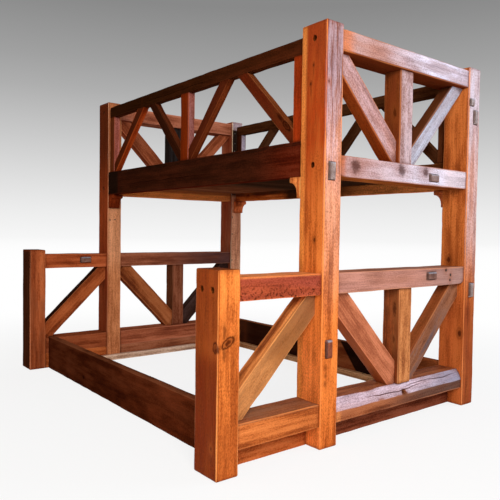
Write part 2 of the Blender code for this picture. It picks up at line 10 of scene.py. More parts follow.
import json
import logging
import math
from collections.abc import Callable
from dataclasses import dataclass, field
from enum import Enum
from functools import cache
from typing import Any

import bpy
import numpy as np
from mathutils import Matrix, Vector

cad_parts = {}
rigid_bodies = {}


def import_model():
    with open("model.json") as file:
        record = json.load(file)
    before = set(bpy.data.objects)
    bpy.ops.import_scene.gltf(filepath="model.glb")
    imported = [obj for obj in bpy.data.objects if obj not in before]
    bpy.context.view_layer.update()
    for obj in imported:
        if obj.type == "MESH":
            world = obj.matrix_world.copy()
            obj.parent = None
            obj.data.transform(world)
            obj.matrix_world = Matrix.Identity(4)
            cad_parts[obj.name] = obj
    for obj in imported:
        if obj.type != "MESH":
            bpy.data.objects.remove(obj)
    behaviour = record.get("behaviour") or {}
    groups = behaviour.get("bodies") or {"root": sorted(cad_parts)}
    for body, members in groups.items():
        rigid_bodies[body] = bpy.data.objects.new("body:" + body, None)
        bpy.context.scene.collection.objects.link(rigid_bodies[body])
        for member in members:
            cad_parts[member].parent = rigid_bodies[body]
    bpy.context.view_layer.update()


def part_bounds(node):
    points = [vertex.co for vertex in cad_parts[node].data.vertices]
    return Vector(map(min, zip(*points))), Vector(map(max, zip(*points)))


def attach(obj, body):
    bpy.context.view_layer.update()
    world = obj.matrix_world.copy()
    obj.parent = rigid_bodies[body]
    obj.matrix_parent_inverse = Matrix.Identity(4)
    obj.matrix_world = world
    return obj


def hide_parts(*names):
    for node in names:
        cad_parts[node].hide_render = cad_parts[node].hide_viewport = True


LOG = logging.getLogger("bunk_bed")
BODY = "root"
SIDES = {"right": 1.0, "left": -1.0}
POSTS = ("short", "tall_front", "tall_back")
X_AXIS, Y_AXIS, Z_AXIS = np.eye(3)
SMOOTH_ANGLE = math.radians(38)

# What is added to a timber's seed for its tree's heart and for its spare knots, and the deck boards' own seed
HEART_SEED = 40
KNOT_SEED = 300
DECK_SEED = 500

# Joinery that the solids' boxes hold besides the visible timber, in metres
TENON_LONG = 0.036
STUB_TENON_LONG = 0.020
BOARD_TENON_LONG = 0.044
SEAT = 0.0012

# Old mortises, plugs and bolts, in metres
PLUG_PROUD = 0.010
PLUG_BED = 0.012
PLUG_LONG = 0.078
PLUG_SHORT = 0.038
PLUG_GAP = 0.0030
BOLT_HOLE_RADIUS = 0.0140
BOLT_HOLE_DEEP = 0.030
BOLT_PAIR_SPREAD = 0.073

# Sizes of pieces that share one solid, in metres
SIDE_BOARD_THICK = 0.038
LEDGER_WIDE = 0.038
GUARD_BRACE_WIDE = 0.062
GUARD_BRACE_FOOT = 0.020
GUARD_APEX = 0.475
GUARD_APEX_HALF = 0.0785

# Braces by bay: width, how far the axis' foot lies above the sill, and its head inside the bay's far side
END_BRACES = {
    "lower_brace_front": (0.120, 0.031, 0.022),
    "lower_brace_back": (0.104, 0.029, 0.000),
    "bunk_brace_front": (0.100, 0.045, 0.018),
    "bunk_brace_back": (0.082, 0.008, 0.046),
    "lower_step_brace": (0.102, 0.020, -0.022),
}

Array = np.ndarray
Pair = tuple[float, float]
Colour = tuple[float, float, float]
Solid = tuple[Array, list[Any]]


class Face(Enum):
    """A long face of a timber, named by its own axes: across, and outward."""

    OUT = 0
    LOW = 1
    IN = 2
    HIGH = 3
    WANE = 4


class Axis(Enum):
    """The axis that a knot's branch follows through a timber."""

    ACROSS = 1
    OUTWARD = 2


OUT, LOW, IN, HIGH, WANE = Face
ACROSS, OUTWARD = Axis


def adds(operation: str, swapped: bool = False) -> Callable[..., Signal]:
    """Make a method of Signal that adds a Math node, with swapped operands for a reflected operator."""

    def method(self: Signal, *others: Signal | float) -> Signal:
        """Add the Math node."""
        values = (*others, self) if swapped else (self, *others)
        return self.graph.node("Math", {"operation": operation}, dict(enumerate(values)))

    return method


class Signal:
    """A shader value that takes Python's operators, each of which adds a Math node."""

    def __init__(self, graph: Graph, socket: Any) -> None:
        """Wrap an output socket of a graph."""
        self.graph = graph
        self.socket = socket

    __add__ = __radd__ = adds("ADD")
    __sub__, __rsub__ = adds("SUBTRACT"), adds("SUBTRACT", swapped=True)
    __mul__ = __rmul__ = adds("MULTIPLY")
    __truediv__, __rtruediv__ = adds("DIVIDE"), adds("DIVIDE", swapped=True)
    __abs__ = adds("ABSOLUTE")
    fraction, exponent = adds("FRACT"), adds("EXPONENT")
    larger, smaller = adds("MAXIMUM"), adds("MINIMUM")

    def bell(self) -> Signal:
        """Fall off from 1 like a bell as the value leaves zero."""
        return (self * self * -1.0).exponent()

    def step(self, low: float, high: float) -> Signal:
        """Rise smoothly from 0 at low to 1 at high, or fall if low is the larger."""
        settings = {"interpolation_type": "SMOOTHSTEP"}
        return self.graph.node("MapRange", settings, {"Value": self, 1: low, 2: high})


class Graph:
    """Builds one node tree."""

    def __init__(self, tree: Any) -> None:
        """Start on an emptied tree."""
        self.tree = tree
        tree.nodes.clear()

    def node(
        self, kind: str, settings: dict[str, Any], sockets: dict[Any, Any], output: int | str = 0
    ) -> Signal:
        """Add a node.

        Args:
            kind: the node's type, after the words ShaderNode.
            settings: properties set first; stops holds a colour ramp's (place, colour) pairs.
            sockets: input name or number to a Signal, which is linked, or a value.
            output: name or number of the output that is returned.

        Returns:
            The chosen output.
        """
        made = self.tree.nodes.new(f"ShaderNode{kind}")
        for key, value in settings.items():
            if key == "stops":
                ramp = made.color_ramp.elements
                while len(ramp) < len(value):
                    ramp.new(1.0)
                for stop, (place, colour) in zip(list(ramp), value):
                    stop.position = place
                    stop.color = (*colour, 1.0)
            else:
                setattr(made, key, value)
        for key, value in sockets.items():
            if isinstance(value, Signal):
                self.tree.links.new(value.socket, made.inputs[key])
            else:
                made.inputs[key].default_value = value
        return Signal(self, made.outputs[output] if made.outputs else None)

    def mix(self, factor: Signal | float, first: Signal | Colour, second: Signal | Colour) -> Signal:
        """Mix two colours."""
        pair = [colour if isinstance(colour, Signal) else (*colour, 1.0) for colour in (first, second)]
        return self.node("Mix", {"data_type": "RGBA"}, {0: factor, 6: pair[0], 7: pair[1]}, 2)

    def vector(self, operation: str, sockets: dict[Any, Any], output: str = "Vector") -> Signal:
        """Add a Vector Math node."""
        return self.node("VectorMath", {"operation": operation}, sockets, output)

    def stretch(self, vector: Signal, scale: Colour, shift: Colour = (0.0, 0.0, 0.0)) -> Signal:
        """Scale a vector by axis and move it."""
        return self.vector("MULTIPLY_ADD", {0: vector, 1: scale, 2: shift})

    def noise(self, vector: Signal, detail: float, output: int = 0) -> Signal:
        """Read smooth noise, about 0 to 1, at a vector."""
        return self.node("TexNoise", {}, {"Vector": vector, "Scale": 1.0, "Detail": detail}, output)

    def split(self, vector: Signal) -> tuple[Signal, Signal, Signal]:
        """Part a vector into its three values."""
        made = self.node("SeparateXYZ", {}, {0: vector}).socket.node
        return tuple(Signal(self, socket) for socket in made.outputs)

    def place(self) -> Signal:
        """Read Object coordinates."""
        return self.node("TexCoord", {}, {}, "Object")

    def attribute(self, name: str) -> Signal:
        """Read a piece's own attribute, which is 0 where the piece has none."""
        return self.node("Attribute", {"attribute_name": name}, {}, "Fac")

    def distance(self, vector: Signal, point: Colour) -> Signal:
        """Measure how far a vector lies from a point."""
        return self.vector("DISTANCE", {0: vector, 1: point}, "Value")

    def direct(self) -> Signal:
        """Tell light that the camera, a gloss or a glass sees from light that falls on things."""
        names = ("Is Camera Ray", "Is Glossy Ray", "Is Transmission Ray")
        camera, gloss, glass = (self.node("LightPath", {}, {}, name) for name in names)
        return camera.larger(gloss).larger(glass)

    def show(self, shader: Signal, target: str = "Material") -> None:
        """Make a shader the surface of the tree's material or world."""
        self.node(f"Output{target}", {}, {"Surface": shader})


def new_material(name: str) -> tuple[Any, Graph]:
    """Start a node material."""
    made = bpy.data.materials.new(name)
    made.use_nodes = True
    return made, Graph(made.node_tree)


@dataclass(frozen=True)
class Knot:
    """A branch's cut end: its middle along and across the timber, its radius across, and its shape.

    Slim is its length over its width, tilt turns it, dark is its heart's depth and rim that of its ring.
    Side is the face that it comes out of, or 0 where the branch runs right through. Fray roughens it.
    """

    along: float
    across: float
    radius: float
    axis: Axis = OUTWARD
    dark: float = 0.85
    rim: float = 0.35
    slim: float = 1.6
    tilt: float = 0.0
    side: float = 0.0
    fray: float = 0.45


def smudge(along: float, across: float, radius: float, dark: float, slim: float, **shape: Any) -> Knot:
    """Make a mark on one face that has no ring, such as a scar, a flow of resin or a nail's stain."""
    shape = {"rim": 0.0, "side": 1.0, "fray": 1.0, **shape}
    return Knot(along, across, radius, dark=dark, slim=slim, **shape)


@dataclass(frozen=True)
class Tint:
    """A face of its own tone, or a painted sheen, highlight, shade or shadow on it.

    Colour is the tone, share how much of it shows, patch how patchy it is, ramp the two places along
    the timber between which it sets in, streaky whether it follows the grain, band the two places
    across the face between which it sets in, and skew how far the ramp leans.
    """

    face: Face
    colour: Colour
    share: float
    patch: float
    ramp: Pair | None = None
    streaky: bool = False
    band: Pair | None = None
    skew: float = 0.0


@dataclass(frozen=True)
class Crack:
    """A drying crack: its face, its place across it from 0 to 1, its ends along the timber and its size."""

    face: Face
    place: float
    start: float
    end: float
    wide: float
    deep: float
    sway: float = 0.002


@dataclass(frozen=True)
class Pit:
    """A hollow, such as a lost knot: its middle in the timber's own axes, its radius and its depth."""

    middle: Colour
    radius: float
    deep: float


@dataclass(frozen=True)
class Taper:
    """A corner cut away towards one end: which corner, which end, how much, and over what length."""

    corner: int
    end: float
    cut: float
    reach: float


@dataclass(frozen=True)
class Grain:
    """How a piece's wood lies: its axes, its size in them, its seed and its marks."""

    turn: Matrix
    middle: Vector
    half: Colour
    seed: int
    knots: tuple[Knot, ...] = ()
    tints: tuple[Tint, ...] = ()
    wane: Pair | None = None
    holed: bool = False


@dataclass(frozen=True)
class WoodFinish:
    """An oiled wood: stain, late wood, early wood and worn wood as linear colours, and how they mix."""

    stain: Colour
    late: Colour
    early: Colour
    worn: Colour
    ring: float = 0.0095
    ring_share: float = 0.06
    broad_share: float = 1.1
    cloud_share: float = 0.6
    streak_share: float = 0.85
    fibre_share: float = 0.5
    speck_share: float = 0.85
    worn_share: float = 0.65
    worn_wide: float = 0.006
    rough: float = 0.50
    gloss: float = 0.02
    coat: float = 0.0
    coat_rough: float = 0.24
    arris_coat: float = 0.0
    relief: float = 0.0011
    saw: float = 0.0
    kerf: float = 0.0135
    saw_from: Pair | None = None
    dent_share: float = 0.92
    seam_share: float = 0.75
    seam_wide: float = 0.005

    # Stain, late, early and worn wood over the middle tone: redder where dark, yellower where worn
    SHADES = ((0.30, 0.21, 0.21), (0.66, 0.57, 0.52), (1.06, 1.08, 1.08), (1.38, 1.62, 1.85))
    BRIGHTEST = 0.92
    STOPS = (0.0, 0.36, 0.60, 1.0)
    HEART_SHADE = (0.30, 0.22, 0.22)
    KNOT_DEEP = 0.045
    ENDLESS = 1e6

    # Noises: fineness along and across the grain, the seed's push, two shifts, and detail
    NOISES = {
        "slow": (1.7, 12.0, 1.7, 3.1, 0.4, 3.0),
        "cloud": (7.0, 24.0, 5.1, 2.0, 4.0, 1.0),
        "streak": (1.3, 42.0, 3.9, 1.0, 7.0, 1.0),
        "fibre": (11.0, 210.0, 2.3, 0.0, 0.0, 2.5),
        "speck": (110.0, 190.0, 0.7, 5.0, 2.0, 2.0),
    }

    @classmethod
    def of(cls, base: Colour, **looks: Any) -> WoodFinish:
        """Derive a finish from its middle tone."""
        tones = (tuple(min(cls.BRIGHTEST, b * s) for b, s in zip(base, shade)) for shade in cls.SHADES)
        return cls(*tones, **looks)

    def darker(self, share: float) -> Colour:
        """Give a share of the stain's colour."""
        return tuple(share * value for value in self.stain)

    def material(self, name: str, grain: Grain) -> Any:
        """Make the node material of one piece.

        The tone is a sum of noises at five scales, from broad bands down to specks, less the late
        wood of the rings. A ramp turns it into colour. Tints, knots, seams and wear lie over that.
        Some tints are painted sheen, highlight or shade, and the darkening near each end and inside
        holes is painted shade.

        Args:
            name: the material's name.
            grain: how the wood lies in the piece.

        Returns:
            The Blender material.
        """
        made, graph = new_material(name)
        lay = self._lay(graph, grain)
        u, v, w = graph.split(lay)
        slow = self._noise(graph, lay, grain.seed, "slow", 1)
        broad, bend, patch = graph.split(slow)
        fine_kinds = ("cloud", "streak", "fibre", "speck")
        cloud, streak, fibre, speck = (self._noise(graph, lay, grain.seed, kind) - 0.5 for kind in fine_kinds)
        core, halo, swirl = self._knots(graph, lay, grain)
        late = self._rings(graph, lay, slow, swirl, grain)
        dent, shade = graph.attribute("dent"), graph.attribute("shade")
        edge = self._edge(v, w, grain, streak)
        room = grain.half[0] - abs(u)
        pits = speck.step(0.14, 0.24)

        tone = (broad - 0.5) * self.broad_share + streak * self.streak_share + fibre * self.fibre_share
        tone = tone + speck * self.speck_share + cloud * self.cloud_share
        tone = tone + (0.3 - late) * self.ring_share + 0.5 + shade
        stops = list(zip(self.STOPS, (self.stain, self.late, self.early, self.worn)))
        body = graph.node("ValToRGB", {"stops": stops}, {0: tone})

        mottle = streak * 0.5 + speck * 0.7 + cloud * 0.9
        fine = fibre * (1.6 * self.fibre_share) + speck * (1.65 * self.speck_share)
        fine = fine + streak * (0.6 * self.streak_share) + cloud * self.cloud_share + 1.0
        for number, tint in enumerate(grain.tints):
            spots = streak * 1.2 + fibre * 1.8 + 0.5 if tint.streaky else (patch, bend)[number % 2] + mottle
            shaded = graph.vector("SCALE", {0: tint.colour, "Scale": fine})
            body = graph.mix(self._shown(tint, (u, v, w), grain, spots), body, shaded)
        layers = [
            (edge * self.worn_share, self.worn),
            (halo * 0.5, self.late),
            (core, tuple(value * dim for value, dim in zip(self.stain, self.HEART_SHADE))),
            (pits * 0.5, self.stain),
            # Painted shade: darker within 22 mm of each end, where timbers meet; free ends get it too
            (room.step(0.022, 0.0) * 0.45, self.stain),
            (room.step(self.seam_wide, 0.001) * self.seam_share, self.darker(0.4)),
            # Darker the deeper a point is pushed in: in cracks, pits and bites
            ((dent * 1.3).smaller(1.0) * self.dent_share, self.darker(0.25)),
        ]
        # Painted shade inside holes and mortises: darker the further a point lies inside the timber's faces
        if grain.holed:
            sunk = (grain.half[1] - abs(v)).smaller(grain.half[2] - abs(w))
            layers.insert(0, (sunk.step(0.003, 0.008) * 0.9, self.darker(0.2)))
        height = fibre * 0.5 + streak * 0.3 + late * 0.3 - pits * 0.5 - core * 0.4
        if self.saw:
            kerf = self._kerfs(u, v, bend) * (patch + mottle).step(0.30, 0.70)
            kerf = kerf * u.step(*self.saw_from) if self.saw_from else kerf
            height = height + kerf * self.saw
            layers.append((kerf * (0.4 * self.saw), self.late))
        for mask, colour in layers:
            body = graph.mix(mask, body, colour)

        rough = self.rough + (bend - 0.5) * 0.3 + pits * 0.2 + dent * 0.3 - edge * 0.08
        sockets = {
            "Base Color": body,
            "Roughness": rough.larger(0.15).smaller(0.95),
            "Specular IOR Level": self.gloss,
            "Coat Weight": edge * self.arris_coat if self.arris_coat else self.coat,
            "Coat Roughness": self.coat_rough,
            "Normal": graph.node("Bump", {}, {"Strength": 0.6, "Distance": self.relief, "Height": height}),
        }
        graph.show(graph.node("BsdfPrincipled", {}, sockets))
        return made

    @staticmethod
    def _lay(graph: Graph, grain: Grain) -> Signal:
        """Turn Object coordinates into the piece's own axes: along, across, outward."""
        shift = -(grain.turn @ grain.middle)
        sockets = {"Vector": graph.place(), "Location": shift, "Rotation": grain.turn.to_euler("XYZ")}
        return graph.node("Mapping", {"vector_type": "POINT"}, sockets)

    def _noise(self, graph: Graph, lay: Signal, seed: int, kind: str, output: int = 0) -> Signal:
        """Read one of the wood's noises, drawn out along the grain."""
        along, across, push, *shift, detail = self.NOISES[kind]
        return graph.noise(graph.stretch(lay, (along, across, across), (seed * push, *shift)), detail, output)

    def _knots(self, graph: Graph, lay: Signal, grain: Grain) -> tuple[Signal | float, ...]:
        """Work out the knots' dark cores, their halos and the push that bends the rings round them."""
        core = halo = swirl = 0.0
        if grain.knots:
            frayed = graph.stretch(lay, (70.0, 110.0, 110.0), (1.3, grain.seed * 1.1, 0.0))
            fray = graph.noise(frayed, 2.0) - 0.5
        for knot in grain.knots:
            deep = self.KNOT_DEEP if knot.side else self.ENDLESS
            size = (knot.radius * knot.slim, knot.radius, deep)
            spot, turn = (knot.along, knot.across, knot.side * grain.half[2]), (0.0, 0.0, knot.tilt)
            if knot.axis is ACROSS:
                size = (size[0], deep, size[1])
                spot, turn = (knot.along, knot.side * grain.half[1], knot.across), (0.0, knot.tilt, 0.0)
            sockets = {"Vector": lay, "Location": spot, "Rotation": turn, "Scale": size}
            local = graph.node("Mapping", {"vector_type": "TEXTURE"}, sockets)
            reach = graph.distance(local, (0.0, 0.0, 0.0)) + fray * knot.fray
            heart = reach.step(1.05, 0.30) * knot.dark
            rim = ((reach - 1.0) * 3.6).bell() * knot.rim
            core = heart.larger(rim).larger(core)
            halo = (reach * 0.42).bell().larger(halo)
            swirl = (reach * 0.5).bell() * (knot.radius * 1.5) + swirl
        return core, halo, swirl

    def _rings(self, graph: Graph, lay: Signal, slow: Signal, swirl: Signal | float, grain: Grain) -> Signal:
        """Shade the growth rings: distance from the tree's heart, which lies outside the timber."""
        draw = np.random.default_rng(grain.seed + HEART_SEED)
        turn = draw.uniform(0.0, 2.0 * math.pi)
        away = draw.uniform(0.04, 0.14)
        heart = (away * math.cos(turn), away * math.sin(turn))
        wander = graph.stretch(slow, (0.0, 0.055, 0.055), (0.0, -0.028 - heart[0], -0.028 - heart[1]))
        flat = graph.stretch(graph.vector("ADD", {0: lay, 1: wander}), (0.02, 1.0, 1.0))
        ring = ((graph.vector("LENGTH", {0: flat}, "Value") + swirl) / self.ring).fraction()
        return ring.step(0.20, 0.86) * ring.step(1.0, 0.92)

    def _edge(self, v: Signal, w: Signal, grain: Grain, streak: Signal) -> Signal:
        """Mark the worn arrises: near two faces at once."""
        inward = (grain.half[1] - abs(v)).larger(grain.half[2] - abs(w))
        return (inward + streak * (2.0 * self.worn_wide)).step(self.worn_wide, 0.001)

    @staticmethod
    def _shown(tint: Tint, place: tuple[Signal, Signal, Signal], grain: Grain, spots: Signal) -> Signal:
        """Work out how much of a tint, the face's own tone or a painted sheen or shade, lies over the wood at
        each place.
        """
        u, v, w = place
        _, tall, deep = grain.half
        flat = tint.face not in (LOW, HIGH)
        across = v if flat else w
        if tint.face is WANE:
            drop, depth = grain.wane
            near = ((tall - v) / drop + (deep - w) / depth).step(1.14, 1.03)
        else:
            value, half = (w, deep) if flat else (v, tall)
            sign = 1.0 if tint.face in (OUT, HIGH) else -1.0
            near = (value * sign).step(half - 0.010, half - 0.003)
        if tint.patch:
            near = near * (spots.step(0.25, 0.75) * tint.patch + (1.0 - tint.patch))
        if tint.ramp:
            near = near * (u + across * tint.skew).step(*tint.ramp)
        if tint.band:
            near = near * across.step(*tint.band)
        return near * tint.share

    def _kerfs(self, u: Signal, v: Signal, bend: Signal) -> Signal:
        """Draw the slanting marks that a saw left across a face."""
        return ((u * 0.9 + v * 0.55 + bend * 0.05) / self.kerf).fraction().step(0.60, 0.9)


class Ripple:
    """Smooth seeded noise: a sum of sine waves over a timber's own coordinates."""

    def __init__(self, seed: int, long: Pair, short: Pair, waves: int = 10) -> None:
        """Draw the waves.

        Args:
            seed: the same seed gives the same waves.
            long: shortest and longest wave along the timber, in metres.
            short: shortest and longest wave across it.
            waves: how many are summed.
        """
        draw = np.random.default_rng(seed)
        lengths = np.column_stack([draw.uniform(*long, waves), draw.uniform(*short, (waves, 2))])
        self.waves = 2.0 * math.pi / lengths * draw.choice((-1.0, 1.0), (waves, 3))
        self.phase = draw.uniform(0.0, 2.0 * math.pi, waves)
        self.scale = math.sqrt(2.0 / waves)

    def __call__(self, u: Array, v: Array | float = 0.0, w: Array | float = 0.0) -> Array:
        """Sum sin(wave . place + phase) at each place."""
        pairs = zip(self.waves, self.phase)
        return sum(np.sin(k[0] * u + k[1] * v + k[2] * w + p) for k, p in pairs) * self.scale


def link(name: str, data: Any) -> Any:
    """Put an object with this data into the scene."""
    made = bpy.data.objects.new(name, data)
    bpy.context.scene.collection.objects.link(made)
    return made


def new_mesh(name: str, points: Array, faces: list[Any]) -> Any:
    """Make a mesh of points and of faces, as rows of point numbers."""
    mesh = bpy.data.meshes.new(name)
    mesh.from_pydata(points.tolist(), [], faces)
    return mesh


def smooth(mesh: Any) -> None:
    """Shade a mesh smooth, but for its sharp edges."""
    mesh.shade_smooth()
    mesh.set_sharp_from_angle(angle=SMOOTH_ANGLE)


def add_piece(
    name: str, points: Array, faces: list[Any], material: Any, slot: str = "", nodes: tuple[str, ...] = (),
    marks: dict[str, Array] | None = None,
) -> Any:
    """Put a surface into the scene as a piece that rides on the bed.

    Args:
        name: the piece's name.
        points: its vertices, in metres, in the bed's frame.
        faces: its faces, as rows of vertex numbers.
        material: its material.
        slot: the record's material slot, if it has one; not used.
        nodes: the CAD nodes that it stands for.
        marks: values by point that the material reads, by name.

    Returns:
        The object.
    """
    mesh = new_mesh(name, points, faces)
    for kind, values in (marks or {}).items():
        mesh.attributes.new(kind, "FLOAT", "POINT").data.foreach_set("value", values.astype(np.float32))
    mesh.materials.append(material)
    smooth(mesh)
    piece = link(name, mesh)
    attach(piece, BODY)
    if nodes:
        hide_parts(*nodes)
    LOG.info("%s: %d faces", name, len(mesh.polygons))
    return piece


def tube_faces(rows: int, columns: int) -> list[Any]:
    """List the quads of a tube of rows x columns points, facing outwards."""
    row, column = np.meshgrid(np.arange(rows - 1), np.arange(columns), indexing="ij")
    start = row * columns + column
    beside = row * columns + (column + 1) % columns
    return np.stack([start, beside, beside + columns, start + columns], -1).reshape(-1, 4).tolist()


def closed_faces(rows: int, columns: int) -> list[Any]:
    """List the faces of a tube whose two ends close on hubs, the two points that follow its rows."""
    number = np.arange(columns)
    beside = (number + 1) % columns
    last, hub = (rows - 1) * columns, np.full(columns, rows * columns)
    fans = np.stack([beside, number, hub], -1), np.stack([number + last, beside + last, hub + 1], -1)
    return tube_faces(rows, columns) + fans[0].tolist() + fans[1].tolist()


def drum(centre: Array, radius: float, deep: float, sides: int) -> Solid:
    """Make a closed drum along Y: a ring of points at each end, closed on its middle."""
    turn = np.linspace(0.0, 2.0 * math.pi, sides, endpoint=False)
    ring = np.stack([np.sin(turn) * radius, np.zeros(sides), np.cos(turn) * radius], -1)
    ends = [centre - Y_AXIS * deep / 2, centre + Y_AXIS * deep / 2]
    return np.concatenate([*(ring + end for end in ends), ends]), closed_faces(2, sides)


def crate(low: Array, high: Array) -> Solid:
    """Make a closed box between two corners."""
    bits = np.array([[n >> 2 & 1, n >> 1 & 1, n & 1] for n in range(8)], float)
    faces = [[0, 1, 3, 2], [4, 6, 7, 5], [0, 4, 5, 1], [2, 3, 7, 6], [0, 2, 6, 4], [1, 5, 7, 3]]
    return low + bits * (high - low), faces


def carve(piece: Any, cutters: list[Solid]) -> None:
    """Cut closed surfaces out of a piece, and keep the result as its mesh."""
    tools = [link("cutter", new_mesh("cutter", *cutter)) for cutter in cutters]
    for tool in tools:
        cut = piece.modifiers.new("cut", "BOOLEAN")
        cut.operation, cut.solver, cut.object = "DIFFERENCE", "EXACT", tool
    graph = bpy.context.evaluated_depsgraph_get()
    carved = bpy.data.meshes.new_from_object(piece.evaluated_get(graph))
    piece.modifiers.clear()
    piece.data = carved
    smooth(carved)
    for tool in tools:
        bpy.data.objects.remove(tool, do_unlink=True)


@dataclass
class Heap:
    """Gathers loose solids into one surface."""

    points: list[Array] = field(default_factory=list)
    faces: list[Any] = field(default_factory=list)

    def add(self, points: Array, faces: list[Any]) -> None:
        """Add a solid, with its points counted on from those before."""
        start = sum(len(before) for before in self.points)
        self.faces += [[corner + start for corner in row] for row in faces]
        self.points.append(points)

    def build(self, name: str, material: Any, **rest: Any) -> None:
        """Put the solids into the scene as one piece."""
        add_piece(name, np.concatenate(self.points), self.faces, material, **rest)


